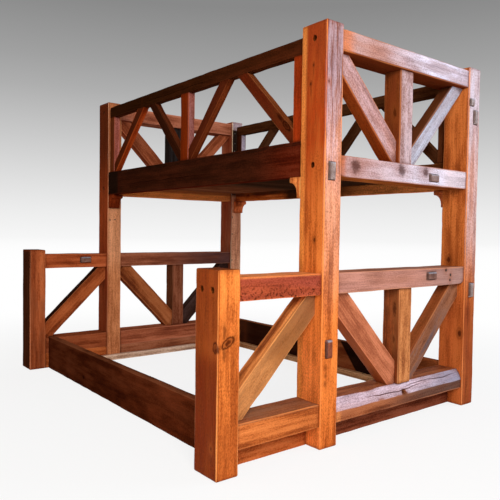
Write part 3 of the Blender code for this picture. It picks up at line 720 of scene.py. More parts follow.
@dataclass
class Bar:
    """A timber or board: a rounded section with uneven arrises, carried along its own axis.

    The section's corners are Bezier arcs between a point on each of the two faces. How far those
    points lie from the corner varies along the timber, which gives worn, chipped and waney arrises.
    """

    name: str
    nodes: tuple[str, ...]
    slot: str
    finish: WoodFinish
    middle: Array
    along: Array
    outward: Array
    size: tuple[float, float, float]
    seed: int
    bay: tuple[Array, Array] | None = None
    arris: float = 0.0034
    chip: float = 0.0022
    hewn: float = 0.0004
    end_arris: float = 0.0
    pitch: float = 0.012
    wane: Pair | None = None
    bites: float = 0.0
    knots: tuple[Knot, ...] = ()
    tints: tuple[Tint, ...] = ()
    cracks: tuple[Crack, ...] = ()
    pits: tuple[Pit, ...] = ()
    tapers: tuple[Taper, ...] = ()
    spare_knots: int = 0
    cutters: list[Solid] = field(default_factory=list)

    # The section's corners, and the way round it at each, which is also the way that the next face looks
    SIGNS = np.array([(1.0, 1.0), (-1.0, 1.0), (-1.0, -1.0), (1.0, -1.0)])
    WAYS = np.array([(0.0, 1.0), (-1.0, 0.0), (0.0, -1.0), (1.0, 0.0)])
    ARC_STEPS = 3
    WANE_STEPS = 8
    WANE_BULGE = 0.22
    LEAST_ARRIS = 0.0012
    END_EASE = np.array([0.0, 0.1, 0.35, 1.0])
    CAP_RINGS = (0.7, 0.35)
    SLIT = 0.0003

    @property
    def across(self) -> Array:
        """The second axis, square to the other two."""
        return np.cross(self.outward, self.along)

    def stations(self) -> tuple[Array, Array]:
        """Spread the sections along the timber, from 0 to 1, with how far each is drawn in at eased ends."""
        steps = max(4, round(self.size[0] / self.pitch))
        share = np.linspace(0.0, 1.0, steps + 1)
        if not self.end_arris:
            return share, np.zeros_like(share)
        ease = self.END_EASE * self.end_arris
        share = np.concatenate([ease / self.size[0], share[1:-1], 1.0 - ease[::-1] / self.size[0]])
        near = np.minimum(share, 1.0 - share) * self.size[0]
        gap = np.clip(self.end_arris - near, 0.0, None)
        return share, self.end_arris - np.sqrt(np.clip(self.end_arris**2 - gap**2, 0.0, None))

    def wave(self, key: int, long: Pair, u: Array) -> Array:
        """Read smooth noise of waves of these lengths along the timber."""
        return Ripple(self.seed * 31 + key, long, (1.0, 2.0), 8)(u)

    def corner_cuts(self, u: Array) -> Array:
        """Work out, for each section and corner, how far the arc's two ends lie from the corner."""
        cuts = np.empty((len(u), 4, 2))
        for corner, side in np.ndindex(4, 2):
            key = corner * 7 + side
            chips = np.clip(self.wave(key + 5000, (0.025, 0.16), u) - 1.0, 0.0, 1.2) * self.chip
            cuts[:, corner, side] = self.arris * (1.0 + 0.22 * self.wave(key, (0.10, 0.5), u)) + chips
        for taper in self.tapers:
            away = self.size[0] / 2 - taper.end * u
            cuts[:, taper.corner] += (taper.cut * np.clip(1.0 - away / taper.reach, 0.0, 1.0) ** 1.5)[:, None]
        cuts = np.maximum(cuts, self.LEAST_ARRIS)
        if self.wane:
            drop, depth = self.wane
            ragged = 0.11 * self.wave(78, (0.25, 0.8), u) + 0.03 * self.wave(79, (0.04, 0.15), u)
            cuts[:, 0, 0] = depth * (1.0 + 0.10 * self.wave(77, (0.25, 0.8), u))
            cuts[:, 0, 1] = drop * (1.0 + ragged)
        return cuts

    def columns(self, face: int, width: float) -> list[tuple[float, Crack | None, int]]:
        """List a face's columns of points as (place from 0 to 1, crack, side of the crack)."""
        count = max(2, round(width / (self.pitch * 1.15)))
        places = [(n / count, None, 0) for n in range(1, count)]
        if face == WANE.value:
            places = [(n / self.WANE_STEPS, None, 0) for n in range(self.WANE_STEPS + 1)]
        for crack in self.cracks:
            if crack.face.value == face:
                clear = 2.2 * crack.wide / width
                places = [p for p in places if abs(p[0] - crack.place) > clear]
                places += [(crack.place + side * 1e-4, crack, side) for side in (-1, 0, 1)]
        return sorted(places, key=lambda place: place[0])

    def spread(self, face: int, width: float, u: Array) -> tuple[Array, Array]:
        """Work out a face's columns: shares of its width, and how deep cracks push them in."""
        shares, dents = [], []
        for place, crack, side in self.columns(face, width):
            opened = self.opening(u, crack) if crack else np.zeros_like(u)
            gap = side * (self.SLIT + opened * crack.wide / 2) if crack else 0.0
            sway = crack.sway * self.wave(99 + face, (0.15, 0.6), u) if crack else 0.0
            shares.append(place + (gap + sway) / width + np.zeros_like(u))
            dents.append(opened * crack.deep if crack and side == 0 else np.zeros_like(u))
        return np.stack(shares, 1), np.stack(dents, 1)

    def section(self, u: Array, drawn_in: Array) -> tuple[Array, Array]:
        """Work out every section's points, (sections, points, 2), and how deep each is pushed in."""
        half = np.array(self.size[1:]) / 2
        corners = self.SIGNS * (half - drawn_in[:, None])[:, None, :]
        cuts = self.corner_cuts(u)
        starts = corners - self.WAYS * cuts[:, :, :1]
        ends = corners + np.roll(self.WAYS, -1, axis=0) * cuts[:, :, 1:]
        arc = np.tile(np.linspace(0.0, 1.0, self.ARC_STEPS + 1), (len(u), 1))
        points, facing, dents = [], [], []
        for corner in range(4):
            start, end, tip = (line[:, corner, None, :] for line in (starts, ends, corners))
            t, dent, bulge = arc, np.zeros(arc.shape), 1.0
            if self.wane and corner == 0:
                t, dent = self.spread(WANE.value, float(np.hypot(*self.wane)), u)
                bulge = self.WANE_BULGE
            t = t[..., None]
            pull = (start + end) / 2 * (1.0 - bulge) + tip * bulge
            points.append((1 - t) ** 2 * start + 2 * t * (1 - t) * pull + t**2 * end)
            turn = (1 - t) * self.WAYS[corner - 1] + t * self.WAYS[corner]
            facing.append(turn / np.linalg.norm(turn, axis=-1, keepdims=True))
            dents.append(dent)
            stop = starts[:, (corner + 1) % 4, None, :]
            share, dent = self.spread(corner, float(np.linalg.norm(stop - end, axis=-1).mean()), u)
            points.append(end + (stop - end) * share[..., None])
            facing.append(np.broadcast_to(self.WAYS[corner], points[-1].shape))
            dents.append(dent)
        section, facing = np.concatenate(points, 1), np.concatenate(facing, 1)
        place = (u[:, None], section[..., 0], section[..., 1])
        dent = np.concatenate(dents, 1) + self.hollows(*place, facing)
        lift = self.hewn * Ripple(self.seed, (0.12, 0.7), (0.05, 0.20))(*place) - dent
        return section + facing * lift[..., None], dent

    @staticmethod
    def opening(u: Array, crack: Crack) -> Array:
        """Open a crack from nothing at its ends to its full width in between."""
        share = np.clip((u - crack.start) / (crack.end - crack.start), 0.0, 1.0)
        return np.sqrt(np.sin(math.pi * share).clip(0.0))

    def hollows(self, u: Array, v: Array, w: Array, facing: Array) -> Array:
        """Sink the pits, each a bell about its middle, and rows of scale-like bites in the outward face.

        A bite is the product of two sine waves, along and across, whose rows sway. The bites are
        deepest at the lower edge, fade out above the middle of the face, and are worn away in places.
        """
        sunk = np.zeros(v.shape)
        for pit in self.pits:
            far = (u - pit.middle[0]) ** 2 + (v - pit.middle[1]) ** 2 + (w - pit.middle[2]) ** 2
            sunk += pit.deep * np.exp(-far / pit.radius**2)
        if self.bites:
            fade = np.clip(0.62 - 1.6 * v / self.size[1], 0.0, 1.0)
            fade = fade * np.clip(facing[..., 1] * 3.0 - 2.0, 0.0, 1.0)
            sway = Ripple(self.seed + 3, (0.05, 0.25), (0.03, 0.09), 7)(u, v)
            row = np.sin(v * 440.0 + 1.6 * sway)
            bite = np.sin(u * 330.0 + v * 90.0 + 2.4 * sway + 1.57 * np.sign(row)) * row
            worn = np.clip(0.55 + 0.9 * Ripple(self.seed + 5, (0.02, 0.08), (0.02, 0.06), 9)(u, v), 0.0, 1.0)
            sunk += self.bites * fade * worn * np.clip(bite, 0.0, 1.0) ** 0.7
        return sunk

    def reach(self, v: Array) -> tuple[Array, Array]:
        """Work out where the timber starts and ends along its axis, at each place across it."""
        if self.bay is None:
            half = self.size[0] / 2
            return np.full_like(v, -half), np.full_like(v, half)
        first, last = np.full_like(v, -np.inf), np.full_like(v, np.inf)
        for axis in np.flatnonzero(np.abs(self.along) > 1e-6):
            here = self.middle[axis] + v * self.across[axis]
            sides = [(end[axis] - here) / self.along[axis] for end in self.bay]
            first = np.maximum(first, np.minimum(*sides))
            last = np.minimum(last, np.maximum(*sides))
        return first, last

    def place(self, u: Array, section: Array) -> Array:
        """Carry points from the timber's own axes into the bed's frame."""
        flat = section[..., :1] * self.across + section[..., 1:] * self.outward
        return self.middle + u[..., None] * self.along + flat

    def surface(self) -> tuple[Array, list[Any], Array]:
        """Make the whole closed surface: the tube of sections and a ringed cap on each end.

        Returns:
            The points, the faces and how deep each point is pushed in, from 0 to about 1.
        """
        share, drawn_in = self.stations()
        section, dent = self.section((share - 0.5) * self.size[0], drawn_in)
        first, last = self.reach(section[..., 0])
        rows, count = section.shape[:2]
        points = [self.place(first + (last - first) * share[:, None], section).reshape(-1, 3)]
        faces = tube_faces(rows, count)
        number = np.arange(count)
        total = rows * count
        for end, limit in ((0, 0), (rows - 1, 1)):
            hub = section[end].mean(0)
            outer = end * count + number
            for scale in (*self.CAP_RINGS, 0.0):
                ring = hub + (section[end] - hub) * scale if scale else hub[None, :]
                points.append(self.place(self.reach(ring[:, 0])[limit], ring))
                inner = total + (number if scale else np.zeros_like(number))
                total += len(ring)
                quads = [outer, np.roll(outer, -1), np.roll(inner, -1), inner]
                quads = quads if scale else quads[:3]
                faces += np.stack(quads if limit else quads[::-1], -1).tolist()
                outer = inner
        deepest = max([self.bites, *(mark.deep for mark in (*self.cracks, *self.pits)), 1e-4])
        dents = np.zeros(total)
        dents[: rows * count] = dent.reshape(-1) / deepest
        return np.concatenate(points), faces, dents

    def grain(self) -> Grain:
        """Describe how the wood lies, with a few knots of its own besides those that are known."""
        draw = np.random.default_rng(self.seed + KNOT_SEED)
        half = np.array(self.size) / 2
        spare = []
        for _ in range(self.spare_knots):
            axis = OUTWARD if draw.random() < 0.6 else ACROSS
            room = half[1] if axis is OUTWARD else half[2]
            radius = float(draw.uniform(0.16, 0.34) * min(room, 0.05))
            along = float(draw.uniform(-0.85, 0.85) * half[0])
            spare.append(Knot(along, float(draw.uniform(-0.7, 0.7) * room), radius, axis))
        turn = Matrix([self.along, self.across, self.outward])
        knots, holed = (*self.knots, *spare), bool(self.cutters)
        return Grain(turn, Vector(self.middle), tuple(half), self.seed, knots, self.tints, self.wane, holed)

    def build(self) -> None:
        """Make the piece, dress it and cut its holes."""
        points, faces, dents = self.surface()
        material = self.finish.material(f"{self.name}_wood", self.grain())
        piece = add_piece(self.name, points, faces, material, self.slot, self.nodes, {"dent": dents})
        if self.cutters:
            carve(piece, self.cutters)


# Middle tones of single timbers as linear colours; a timber that isn't named takes its group's tone
TONES: dict[str, Colour] = {
    "post_short_right": (0.72, 0.19, 0.036), "post_tall_front_right": (0.7, 0.175, 0.032),
    "post_tall_back_right": (0.6, 0.16, 0.036), "post_short_left": (0.54, 0.135, 0.044),
    # Painted light: post_tall_back_left is raised to make up for the shade on its +X face under the bunk
    "post_tall_front_left": (0.6, 0.215, 0.085), "post_tall_back_left": (0.92, 0.4, 0.22),
    "lower_step_rail_right": (0.56, 0.11, 0.026), "lower_step_sill_right": (0.56, 0.152, 0.036),
    "lower_end_rail_right": (0.46, 0.165, 0.08), "lower_end_sill_right": (0.36, 0.11, 0.042),
    "bunk_end_rail_right": (0.42, 0.115, 0.026), "bunk_top_rail_right": (0.42, 0.115, 0.026),
    "lower_king_post_right": (0.56, 0.205, 0.068), "bunk_king_post_right": (0.4, 0.115, 0.028),
    "lower_brace_front_right": (0.53, 0.172, 0.083), "lower_brace_back_right": (0.4, 0.13, 0.045),
    "bunk_brace_front_right": (0.48, 0.13, 0.026), "bunk_brace_back_right": (0.34, 0.1, 0.026),
    "lower_step_brace_right": (0.62, 0.215, 0.058), "lower_step_rail_left": (0.44, 0.094, 0.029),
    "lower_step_brace": (0.4, 0.092, 0.026), "lower_brace": (0.34, 0.095, 0.03),
    # Painted shade: bunk_king_post_left is near black, for its face towards -Y in shade
    "lower": (0.32, 0.075, 0.026), "bunk_king_post_left": (0.03, 0.022, 0.02),
    "lower_king_post_left": (0.26, 0.08, 0.038), "lower_end_rail_left": (0.37, 0.12, 0.06),
    "lower_end_sill_left": (0.43, 0.124, 0.058), "bunk_top_rail_left": (0.52, 0.17, 0.09),
    "lower_brace_back_left": (0.06, 0.03, 0.024), "bunk_side_rail": (0.14, 0.018, 0.0062),
    # Painted light: bunk_side_rail_back is raised for the light that the floor throws onto its low edge
    "bunk_side_rail_back": (0.86, 0.205, 0.042), "guard_top_rail": (0.085, 0.02, 0.006),
    "guard_top_rail_back": (0.075, 0.024, 0.008), "guard_brace_back": (0.075, 0.024, 0.009),
    "guard_stile_back": (0.11, 0.03, 0.01), "guard_stile": (0.36, 0.06, 0.012),
    "guard_centre": (0.3, 0.05, 0.01), "guard_brace": (0.36, 0.048, 0.008),
    "guard_brace_front_2": (0.1, 0.02, 0.006), "guard_brace_front_3": (0.15, 0.028, 0.007),
    "guard_brace_front_4": (0.19, 0.05, 0.014), "bunk": (0.5, 0.135, 0.055),
    "lower_side_rail": (0.085, 0.018, 0.006), "lower_side_rail_back": (0.3, 0.08, 0.026),
    "corbel": (0.66, 0.15, 0.044), "corbel_front_left": (0.19, 0.026, 0.006),
    # Painted light: corbel_front_right is raised above white in red, to make up for the shade that it stands
    # in
    "corbel_front_right": (1.05, 0.32, 0.085), "under_board": (0.46, 0.11, 0.028),
    "under_board_main": (0.22, 0.056, 0.026), "under_board_main_left": (0.33, 0.105, 0.048),
    "bunk_deck": (0.235, 0.075, 0.031), "ledger": (0.66, 0.34, 0.16), "end_ledger": (0.66, 0.43, 0.3),
    "plug": (0.46, 0.37, 0.34), "plug_post_tall_front_right_2": (0.33, 0.084, 0.034),
    "plug_lower": (0.3, 0.15, 0.11), "plug_bunk": (0.34, 0.2, 0.16),
}
# Painted sheen: the lavender that a cool light's reflection lays on high outward faces, painted into the
# colour
PAINTED_SHEEN: Colour = (0.52, 0.38, 0.41)

# Faces that show a tone of their own, or a painted sheen, highlight or shade, by timber
TINTS: dict[str, tuple[Tint, ...]] = {
    "post_short_right": (
        Tint(IN, (0.23, 0.035, 0.006), 0.95, 0.25), Tint(HIGH, (0.4, 0.085, 0.016), 0.7, 0.7, (0.0, -0.3)),
        Tint(IN, (0.165, 0.02, 0.0035), 0.85, 0.3, (0.15, 0.0)),
    ),
    "post_tall_front_right": (
        # Painted sheen on the +X face: the pink tint and the streaky lavender tint
        Tint(HIGH, (0.66, 0.33, 0.22), 0.75, 0.5, (-0.45, 0.1)),
        Tint(HIGH, (0.13, 0.04, 0.037), 0.95, 0.2, (0.35, 0.75)),
        Tint(HIGH, (0.48, 0.36, 0.42), 0.6, 1.0, (0.1, 0.45), streaky=True),
        Tint(IN, (0.33, 0.03, 0.003), 0.95, 0.4, (-0.1, 0.5)),
        Tint(IN, (0.22, 0.036, 0.008), 0.7, 0.6, (0.6, 0.9)),
        Tint(IN, (0.82, 0.215, 0.05), 0.8, 0.4, (-0.35, -0.6)),
        Tint(IN, (0.74, 0.24, 0.05), 0.75, 0.3, band=(-0.034, -0.056)),
    ),
    "post_tall_back_right": (
        # Painted sheen on the +X face: the pale pink tint and the lavender tint near its top
        Tint(HIGH, (0.6, 0.44, 0.44), 0.85, 0.5, (-0.35, 0.15)),
        Tint(HIGH, (0.24, 0.04, 0.012), 0.85, 0.5, (-0.2, -0.45)),
        Tint(HIGH, (0.6, 0.54, 0.62), 0.8, 0.4, (0.35, 0.8)),
        Tint(IN, (0.42, 0.082, 0.02), 0.7, 0.3, (-0.15, -0.45)),
    ),
    "post_short_left": (
        # Painted shade: the face towards -Y, away from the key light, is tinted near black
        Tint(IN, (0.038, 0.01, 0.004), 0.97, 0.0), Tint(HIGH, (0.14, 0.036, 0.016), 0.65, 1.0),
    ),
    "post_tall_front_left": (
        Tint(IN, (0.2, 0.02, 0.004), 0.9, 0.2), Tint(HIGH, (0.66, 0.29, 0.145), 0.9, 0.4, (-0.35, -0.1)),
        Tint(HIGH, (0.4, 0.12, 0.04), 0.9, 0.3, (0.55, 0.65)),
        Tint(IN, (0.26, 0.043, 0.011), 0.95, 0.1, (-0.35, 0.0)),
        Tint(IN, (0.085, 0.016, 0.005), 0.95, 0.1, (0.1, 0.7)),
    ),
    "post_tall_back_left": (
        # Painted shade: the face towards -Y is tinted dark; painted sheen: the pale band high on the +X face
        Tint(IN, (0.26, 0.028, 0.005), 0.9, 0.2), Tint(HIGH, (0.008, 0.008, 0.008), 0.97, 0.0, (0.3, 0.34)),
        Tint(HIGH, PAINTED_SHEEN, 0.95, 0.0, (0.868, 0.88)),
    ),
    "lower_step_rail_right": (
        Tint(OUT, (0.32, 0.06, 0.037), 0.85, 0.4), Tint(HIGH, (0.78, 0.28, 0.08), 0.75, 0.3),
    ),
    "lower_step_brace_right": (
        Tint(OUT, (0.66, 0.275, 0.092), 0.8, 0.4),
        Tint(OUT, (0.31, 0.105, 0.028), 0.85, 0.3, (-0.12, 0.02)),
        Tint(OUT, (0.3, 0.128, 0.058), 0.8, 0.5, (0.08, 0.26)),
        Tint(OUT, (0.2, 0.085, 0.034), 0.6, 1.0, streaky=True),
    ),
    "lower_step_sill_right": (Tint(HIGH, (0.23, 0.1, 0.053), 0.9, 0.4),),
    "lower_end_rail_right": (
        # Painted sheen: both pinkish tints on the outward face
        Tint(OUT, (0.45, 0.213, 0.17), 0.85, 0.3), Tint(OUT, (0.34, 0.205, 0.18), 0.8, 0.3, (0.05, 0.35)),
    ),
    "lower_end_rail_left": (Tint(OUT, (0.075, 0.034, 0.034), 0.85, 0.6, (-0.3, 0.4)),),
    "lower_end_sill_right": (
        Tint(OUT, (0.086, 0.051, 0.042), 0.95, 0.3, (-0.35, 0.3)),
        # Painted sheen: the pale lavender on the upward-facing wane
        Tint(OUT, (0.66, 0.23, 0.07), 0.85, 0.2, (-0.462, -0.49)), Tint(WANE, (0.62, 0.5, 0.6), 0.92, 0.3),
        Tint(WANE, (0.24, 0.23, 0.31), 0.85, 0.6, (0.05, 0.45)),
    ),
    "lower_king_post_right": (
        Tint(IN, (0.28, 0.048, 0.012), 0.9, 0.3), Tint(IN, (0.04, 0.01, 0.004), 0.7, 1.0, streaky=True),
    ),
    "lower_king_post_left": (Tint(IN, (0.11, 0.032, 0.012), 0.95, 0.2),),
    "lower_step_brace_left": (Tint(HIGH, (0.02, 0.008, 0.005), 0.97, 0.0),),
    "lower_brace_back_right": (
        Tint(OUT, (0.27, 0.118, 0.066), 0.85, 0.4), Tint(OUT, (0.1, 0.064, 0.066), 0.9, 1.0, (0.3, -0.05)),
        Tint(HIGH, (0.24, 0.055, 0.014), 0.8, 0.4),
    ),
    "lower_brace_front_right": (Tint(LOW, (0.36, 0.08, 0.014), 0.8, 0.4),),
    "bunk_end_rail_right": (
        # Painted sheen: the lavender, the pale lavender-white and the pinkish tints on the outward face
        Tint(OUT, PAINTED_SHEEN, 0.95, 0.3), Tint(OUT, (0.8, 0.8, 0.96), 0.78, 0.4, (-0.28, 0.02)),
        Tint(OUT, (0.58, 0.44, 0.45), 0.75, 0.3, (0.22, 0.36)),
        Tint(OUT, (0.5, 0.135, 0.045), 0.85, 0.3, (-0.455, -0.49)),
    ),
    "bunk_top_rail_right": (
        # Painted sheen: the pinkish and the lavender-white tints on the outward face
        Tint(OUT, (0.43, 0.272, 0.265), 0.92, 0.4), Tint(OUT, (0.72, 0.71, 0.88), 0.85, 0.5, (-0.3, 0.2)),
        Tint(LOW, (0.16, 0.029, 0.008), 1.0, 0.1), Tint(OUT, (0.56, 0.16, 0.05), 0.85, 0.4, (-0.4, -0.48)),
    ),
    "bunk_king_post_right": (
        # Painted sheen: the pale lavender tint on the +X face
        Tint(HIGH, (0.52, 0.41, 0.45), 0.85, 0.5), Tint(IN, (0.15, 0.027, 0.007), 0.95, 0.3),
    ),
    "bunk_brace_front_right": (
        # Painted sheen: the pinkish lavender tint on the outward face
        Tint(OUT, (0.48, 0.32, 0.34), 0.9, 0.4), Tint(LOW, (0.25, 0.042, 0.007), 0.95, 0.2),
    ),
    "bunk_brace_back_right": (
        # Painted sheen: the bluish white tint on the outward face
        Tint(OUT, (0.42, 0.43, 0.52), 0.95, 0.2), Tint(HIGH, (0.065, 0.017, 0.007), 0.95, 0.2),
    ),
    "bunk_end_rail_left": (
        # Painted light: the bright orange on the outward and low faces stands in for the floor's light under
        # the bunk
        Tint(OUT, (0.92, 0.28, 0.062), 0.95, 0.2), Tint(LOW, (0.92, 0.28, 0.062), 0.95, 0.2),
        Tint(OUT, (0.3, 0.08, 0.026), 0.9, 0.3, band=(-0.014, 0.004)),
    ),
    "bunk_side_rail_front": (
        # Painted shade: the first tint darkens the face away from its right end; the last is a painted shadow
        # at its left end
        Tint(OUT, (0.025, 0.007, 0.0028), 1.0, 0.1, (1.0, 0.62)), Tint(OUT, (0.07, 0.013, 0.005), 0.4, 1.0),
        Tint(OUT, (0.01, 0.004, 0.002), 0.8, 1.0, streaky=True, band=(0.03, 0.07)),
        Tint(OUT, (0.01, 0.005, 0.003), 0.9, 0.1, (-0.78, -0.9)),
    ),
    "bunk_side_rail_back": (
        # The first and last tints darken the face towards its left end; the bright orange band is painted
        # light from the floor
        Tint(OUT, (0.01, 0.005, 0.003), 0.92, 0.1, (-0.44, -0.34)),
        Tint(OUT, (0.92, 0.3, 0.08), 0.95, 0.3, (0.1, 0.4), band=(-0.01, -0.026)),
        Tint(OUT, (0.06, 0.022, 0.01), 0.9, 0.3, (0.0, -0.2), band=(-0.05, -0.034)),
    ),
    "lower_side_rail_front": (
        Tint(OUT, (0.15, 0.028, 0.008), 0.7, 0.5, (-0.3, 1.0)), Tint(HIGH, (0.2, 0.062, 0.026), 0.8, 0.4),
    ),
    "lower_side_rail_back": (
        # Painted shade: the near-black tints, one with a leaning edge painted as the brace's cast shadow; the
        # last brings back the board's own tone towards the right end
        Tint(OUT, (0.008, 0.004, 0.003), 0.94, 0.1, (0.15, -0.15)),
        Tint(OUT, (0.085, 0.026, 0.012), 0.8, 0.3, (-0.68, -0.92)),
        Tint(OUT, (0.008, 0.004, 0.003), 0.95, 0.0, (0.32, 0.335), skew=0.8),
        Tint(OUT, (0.3, 0.075, 0.022), 0.95, 0.3, (0.6, 0.7)),
    ),
    "guard_brace_front": (Tint(OUT, (0.058, 0.012, 0.004), 1.0, 0.1),),
    "guard_brace_front_2": (Tint(OUT, (0.027, 0.0065, 0.0025), 0.97, 0.1),),
    "guard_brace_front_3": (Tint(OUT, (0.072, 0.012, 0.004), 0.97, 0.2),),
    "guard_brace_front_4": (Tint(OUT, (0.09, 0.011, 0.003), 0.97, 0.2),),
    "guard_stile_front_right": (Tint(IN, (0.29, 0.027, 0.004), 0.9, 0.3),),
    "guard_stile_front_left": (
        Tint(IN, (0.085, 0.02, 0.006), 0.95, 0.2), Tint(HIGH, (0.4, 0.15, 0.135), 0.9, 0.6),
    ),
    # Painted sheen: the lavender on the +X face
    "guard_stile_back_left": (Tint(HIGH, (0.5, 0.42, 0.5), 0.9, 0.4),),
    "guard_centre_post_front": (
        Tint(IN, (0.155, 0.018, 0.002), 0.95, 0.2), Tint(HIGH, (0.3, 0.13, 0.125), 0.9, 0.6),
    ),
    "guard_top_rail_front": (
        Tint(OUT, (0.024, 0.007, 0.0018), 1.0, 0.2),
        Tint(OUT, (0.062, 0.013, 0.004), 0.9, 0.6, (-0.5, 0.6)),
    ),
    "bunk_deck": (
        # Painted shade: the second and third tints darken the underside over its right part
        Tint(IN, (0.24, 0.075, 0.03), 0.8, 0.4, band=(0.55, 0.95)),
        Tint(IN, (0.024, 0.0135, 0.0075), 0.94, 0.2, band=(0.58, 0.18)),
        Tint(IN, (0.085, 0.034, 0.017), 0.9, 0.3, band=(-0.4, -0.85)),
    ),
    # Painted highlight on the plug's top face and painted shade on its face towards -Y
    "plug": (Tint(OUT, (0.5, 0.53, 0.62), 0.8, 0.0), Tint(LOW, (0.09, 0.055, 0.045), 0.85, 0.0)),
}

# How single timbers and groups differ in their finish
UNSEAMED = {"seam_share": 0.0}
LOOKS: dict[str, dict[str, Any]] = {
    "post": {**UNSEAMED, "arris_coat": 0.5, "worn_share": 0.8},
    "plug": {**UNSEAMED, "ring": 0.004, "coat": 0.3},
    "lower_king": {"speck_share": 0.9},
    "bunk_king": {"speck_share": 0.9},
    "lower_brace": UNSEAMED,
    "lower_step_brace": UNSEAMED,
    "bunk_brace": UNSEAMED,
    "guard_brace": UNSEAMED,
    "corbel": UNSEAMED,
    "lower_brace_front_right": {**UNSEAMED, "streak_share": 0.35, "broad_share": 0.6, "speck_share": 0.5},
    "lower_step_brace_right": {
        **UNSEAMED, "saw": 1.0, "saw_from": (0.02, 0.16),
        "streak_share": 1.5, "fibre_share": 0.8, "speck_share": 0.45,
    },
    "lower_step_rail_right": {"saw": 0.6, "kerf": 0.009, "dent_share": 0.85},
    "lower_end_rail_right": {"streak_share": 0.6, "cloud_share": 0.5, "speck_share": 0.5},
    "lower_side_rail": {"streak_share": 0.3, "cloud_share": 0.9, "fibre_share": 0.3, "speck_share": 0.5},
    "bunk_side_rail": {"worn_share": 0.15},
    "guard_top_rail": {"worn_share": 0.15},
}

# Knots, cracks, hollows and worn corners that single timbers show, in their own axes
MARKS: dict[str, dict[str, Any]] = {
    "post_short_right": {
        "knots": (
            Knot(0.126, -0.004, 0.030, ACROSS, dark=0.90, rim=0.9, slim=0.50, tilt=0.5, side=1.0, fray=0.7),
            smudge(0.101, -0.056, 0.014, 0.85, 1.3, axis=ACROSS, tilt=0.5),
            smudge(0.127, -0.004, 0.019, 0.85, 0.30, axis=ACROSS, tilt=0.5, fray=0.45),
            smudge(0.170, -0.020, 0.010, 0.60, 4.5, axis=ACROSS),
            smudge(0.082, -0.022, 0.009, 0.55, 4.0, axis=ACROSS),
            Knot(0.110, 0.062, 0.013, dark=0.55, rim=0.9, slim=1.5, side=-1.0),
            Knot(-0.285, 0.042, 0.006),
        ),
    },
    "post_tall_front_right": {
        "knots": (
            Knot(0.759, -0.002, 0.008),
            Knot(0.679, -0.018, 0.009),
            smudge(0.655, -0.016, 0.007, 0.45, 7.0, side=-1.0, fray=0.45),
            smudge(0.735, -0.002, 0.006, 0.40, 7.0, side=-1.0, fray=0.45),
            Knot(-0.014, 0.022, 0.010),
            Knot(0.675, -0.036, 0.006, ACROSS),
            Knot(-0.578, -0.028, 0.008, ACROSS, dark=0.5),
            Knot(-0.614, -0.026, 0.006, ACROSS, dark=0.5),
            Knot(-0.650, -0.027, 0.007, ACROSS, dark=0.5),
        ),
        "cracks": (Crack(HIGH, 0.34, 0.28, 0.86, 0.0022, 0.008),),
    },
    "post_tall_back_right": {
        "knots": (Knot(-0.126, -0.028, 0.017, fray=0.9), Knot(-0.538, 0.054, 0.018, dark=0.9)),
        "cracks": (Crack(HIGH, 0.55, -0.80, -0.25, 0.0022, 0.008),),
    },
    "lower_king_post_right": {
        "knots": (
            smudge(0.135, 0.022, 0.016, 0.75, 3.2, side=-1.0),
            smudge(-0.020, 0.020, 0.010, 0.60, 3.0, side=-1.0),
        ),
    },
    "bunk_king_post_right": {"knots": (smudge(0.020, 0.018, 0.014, 0.65, 2.4, side=-1.0),)},
    "bunk_end_rail_right": {
        "knots": (
            smudge(-0.404, 0.006, 0.044, 0.72, 0.95, tilt=0.4, fray=0.8),
            smudge(-0.064, 0.012, 0.042, 0.72, 0.90, tilt=0.4, fray=0.8),
            smudge(0.134, 0.018, 0.034, 0.72, 0.90, tilt=0.4, fray=0.8),
        ),
        "tapers": (Taper(1, -1.0, 0.030, 0.075), Taper(0, -1.0, 0.012, 0.05)),
    },
    "lower_end_rail_right": {
        "knots": (
            smudge(0.3805, 0.0055, 0.011, 0.9, 1.0, fray=0.9),
            smudge(0.3765, -0.0215, 0.011, 0.9, 1.0, fray=0.9),
            smudge(0.3375, 0.0335, 0.011, 0.9, 1.0, fray=0.9),
        ),
        "tapers": (Taper(1, 1.0, 0.022, 0.06),),
    },
    "lower_step_rail_right": {"bites": 0.0034, "pitch": 0.0028},
    "lower_end_sill_right": {
        "wane": (0.050, 0.030),
        "pitch": 0.008,
        "cracks": (
            Crack(WANE, 0.40, 0.00, 0.49, 0.006, 0.012),
            Crack(WANE, 0.62, -0.30, 0.16, 0.004, 0.009),
            Crack(HIGH, 0.55, -0.44, -0.05, 0.003, 0.010),
        ),
        "pits": (Pit((0.0005, 0.0095, 0.0735), 0.014, 0.016),),
    },
    "guard_brace_front_4": {
        "knots": (
            Knot(0.192, 0.014, 0.012, dark=0.75, rim=0.9, slim=2.6, side=1.0, fray=0.8),
            smudge(0.128, 0.014, 0.016, 0.75, 2.6, fray=1.2),
        ),
    },
}

# Timbers that daylight doesn't glance off: dark boards, guards and the bunk, besides the far end
DULL = ("guard", "bunk", "lower_side", "corbel", "ledger", "end_ledger", "under")
GLOSS = 0.02
DARK_STEEL: Colour = (0.11, 0.10, 0.095)
BRIGHT_STEEL: Colour = (0.45, 0.44, 0.42)


def named(table: dict[str, Any], name: str, default: Any = None) -> Any:
    """Find a timber's entry: that of the longest key that its name starts with."""
    return table.get(max((key for key in table if name.startswith(key)), key=len, default=""), default)


def wood(name: str) -> WoodFinish:
    """Make a timber's finish from its tone."""
    dull = name.startswith(DULL) or name.endswith("left")
    return WoodFinish.of(named(TONES, name), gloss=0.0 if dull else GLOSS, **named(LOOKS, name, {}))


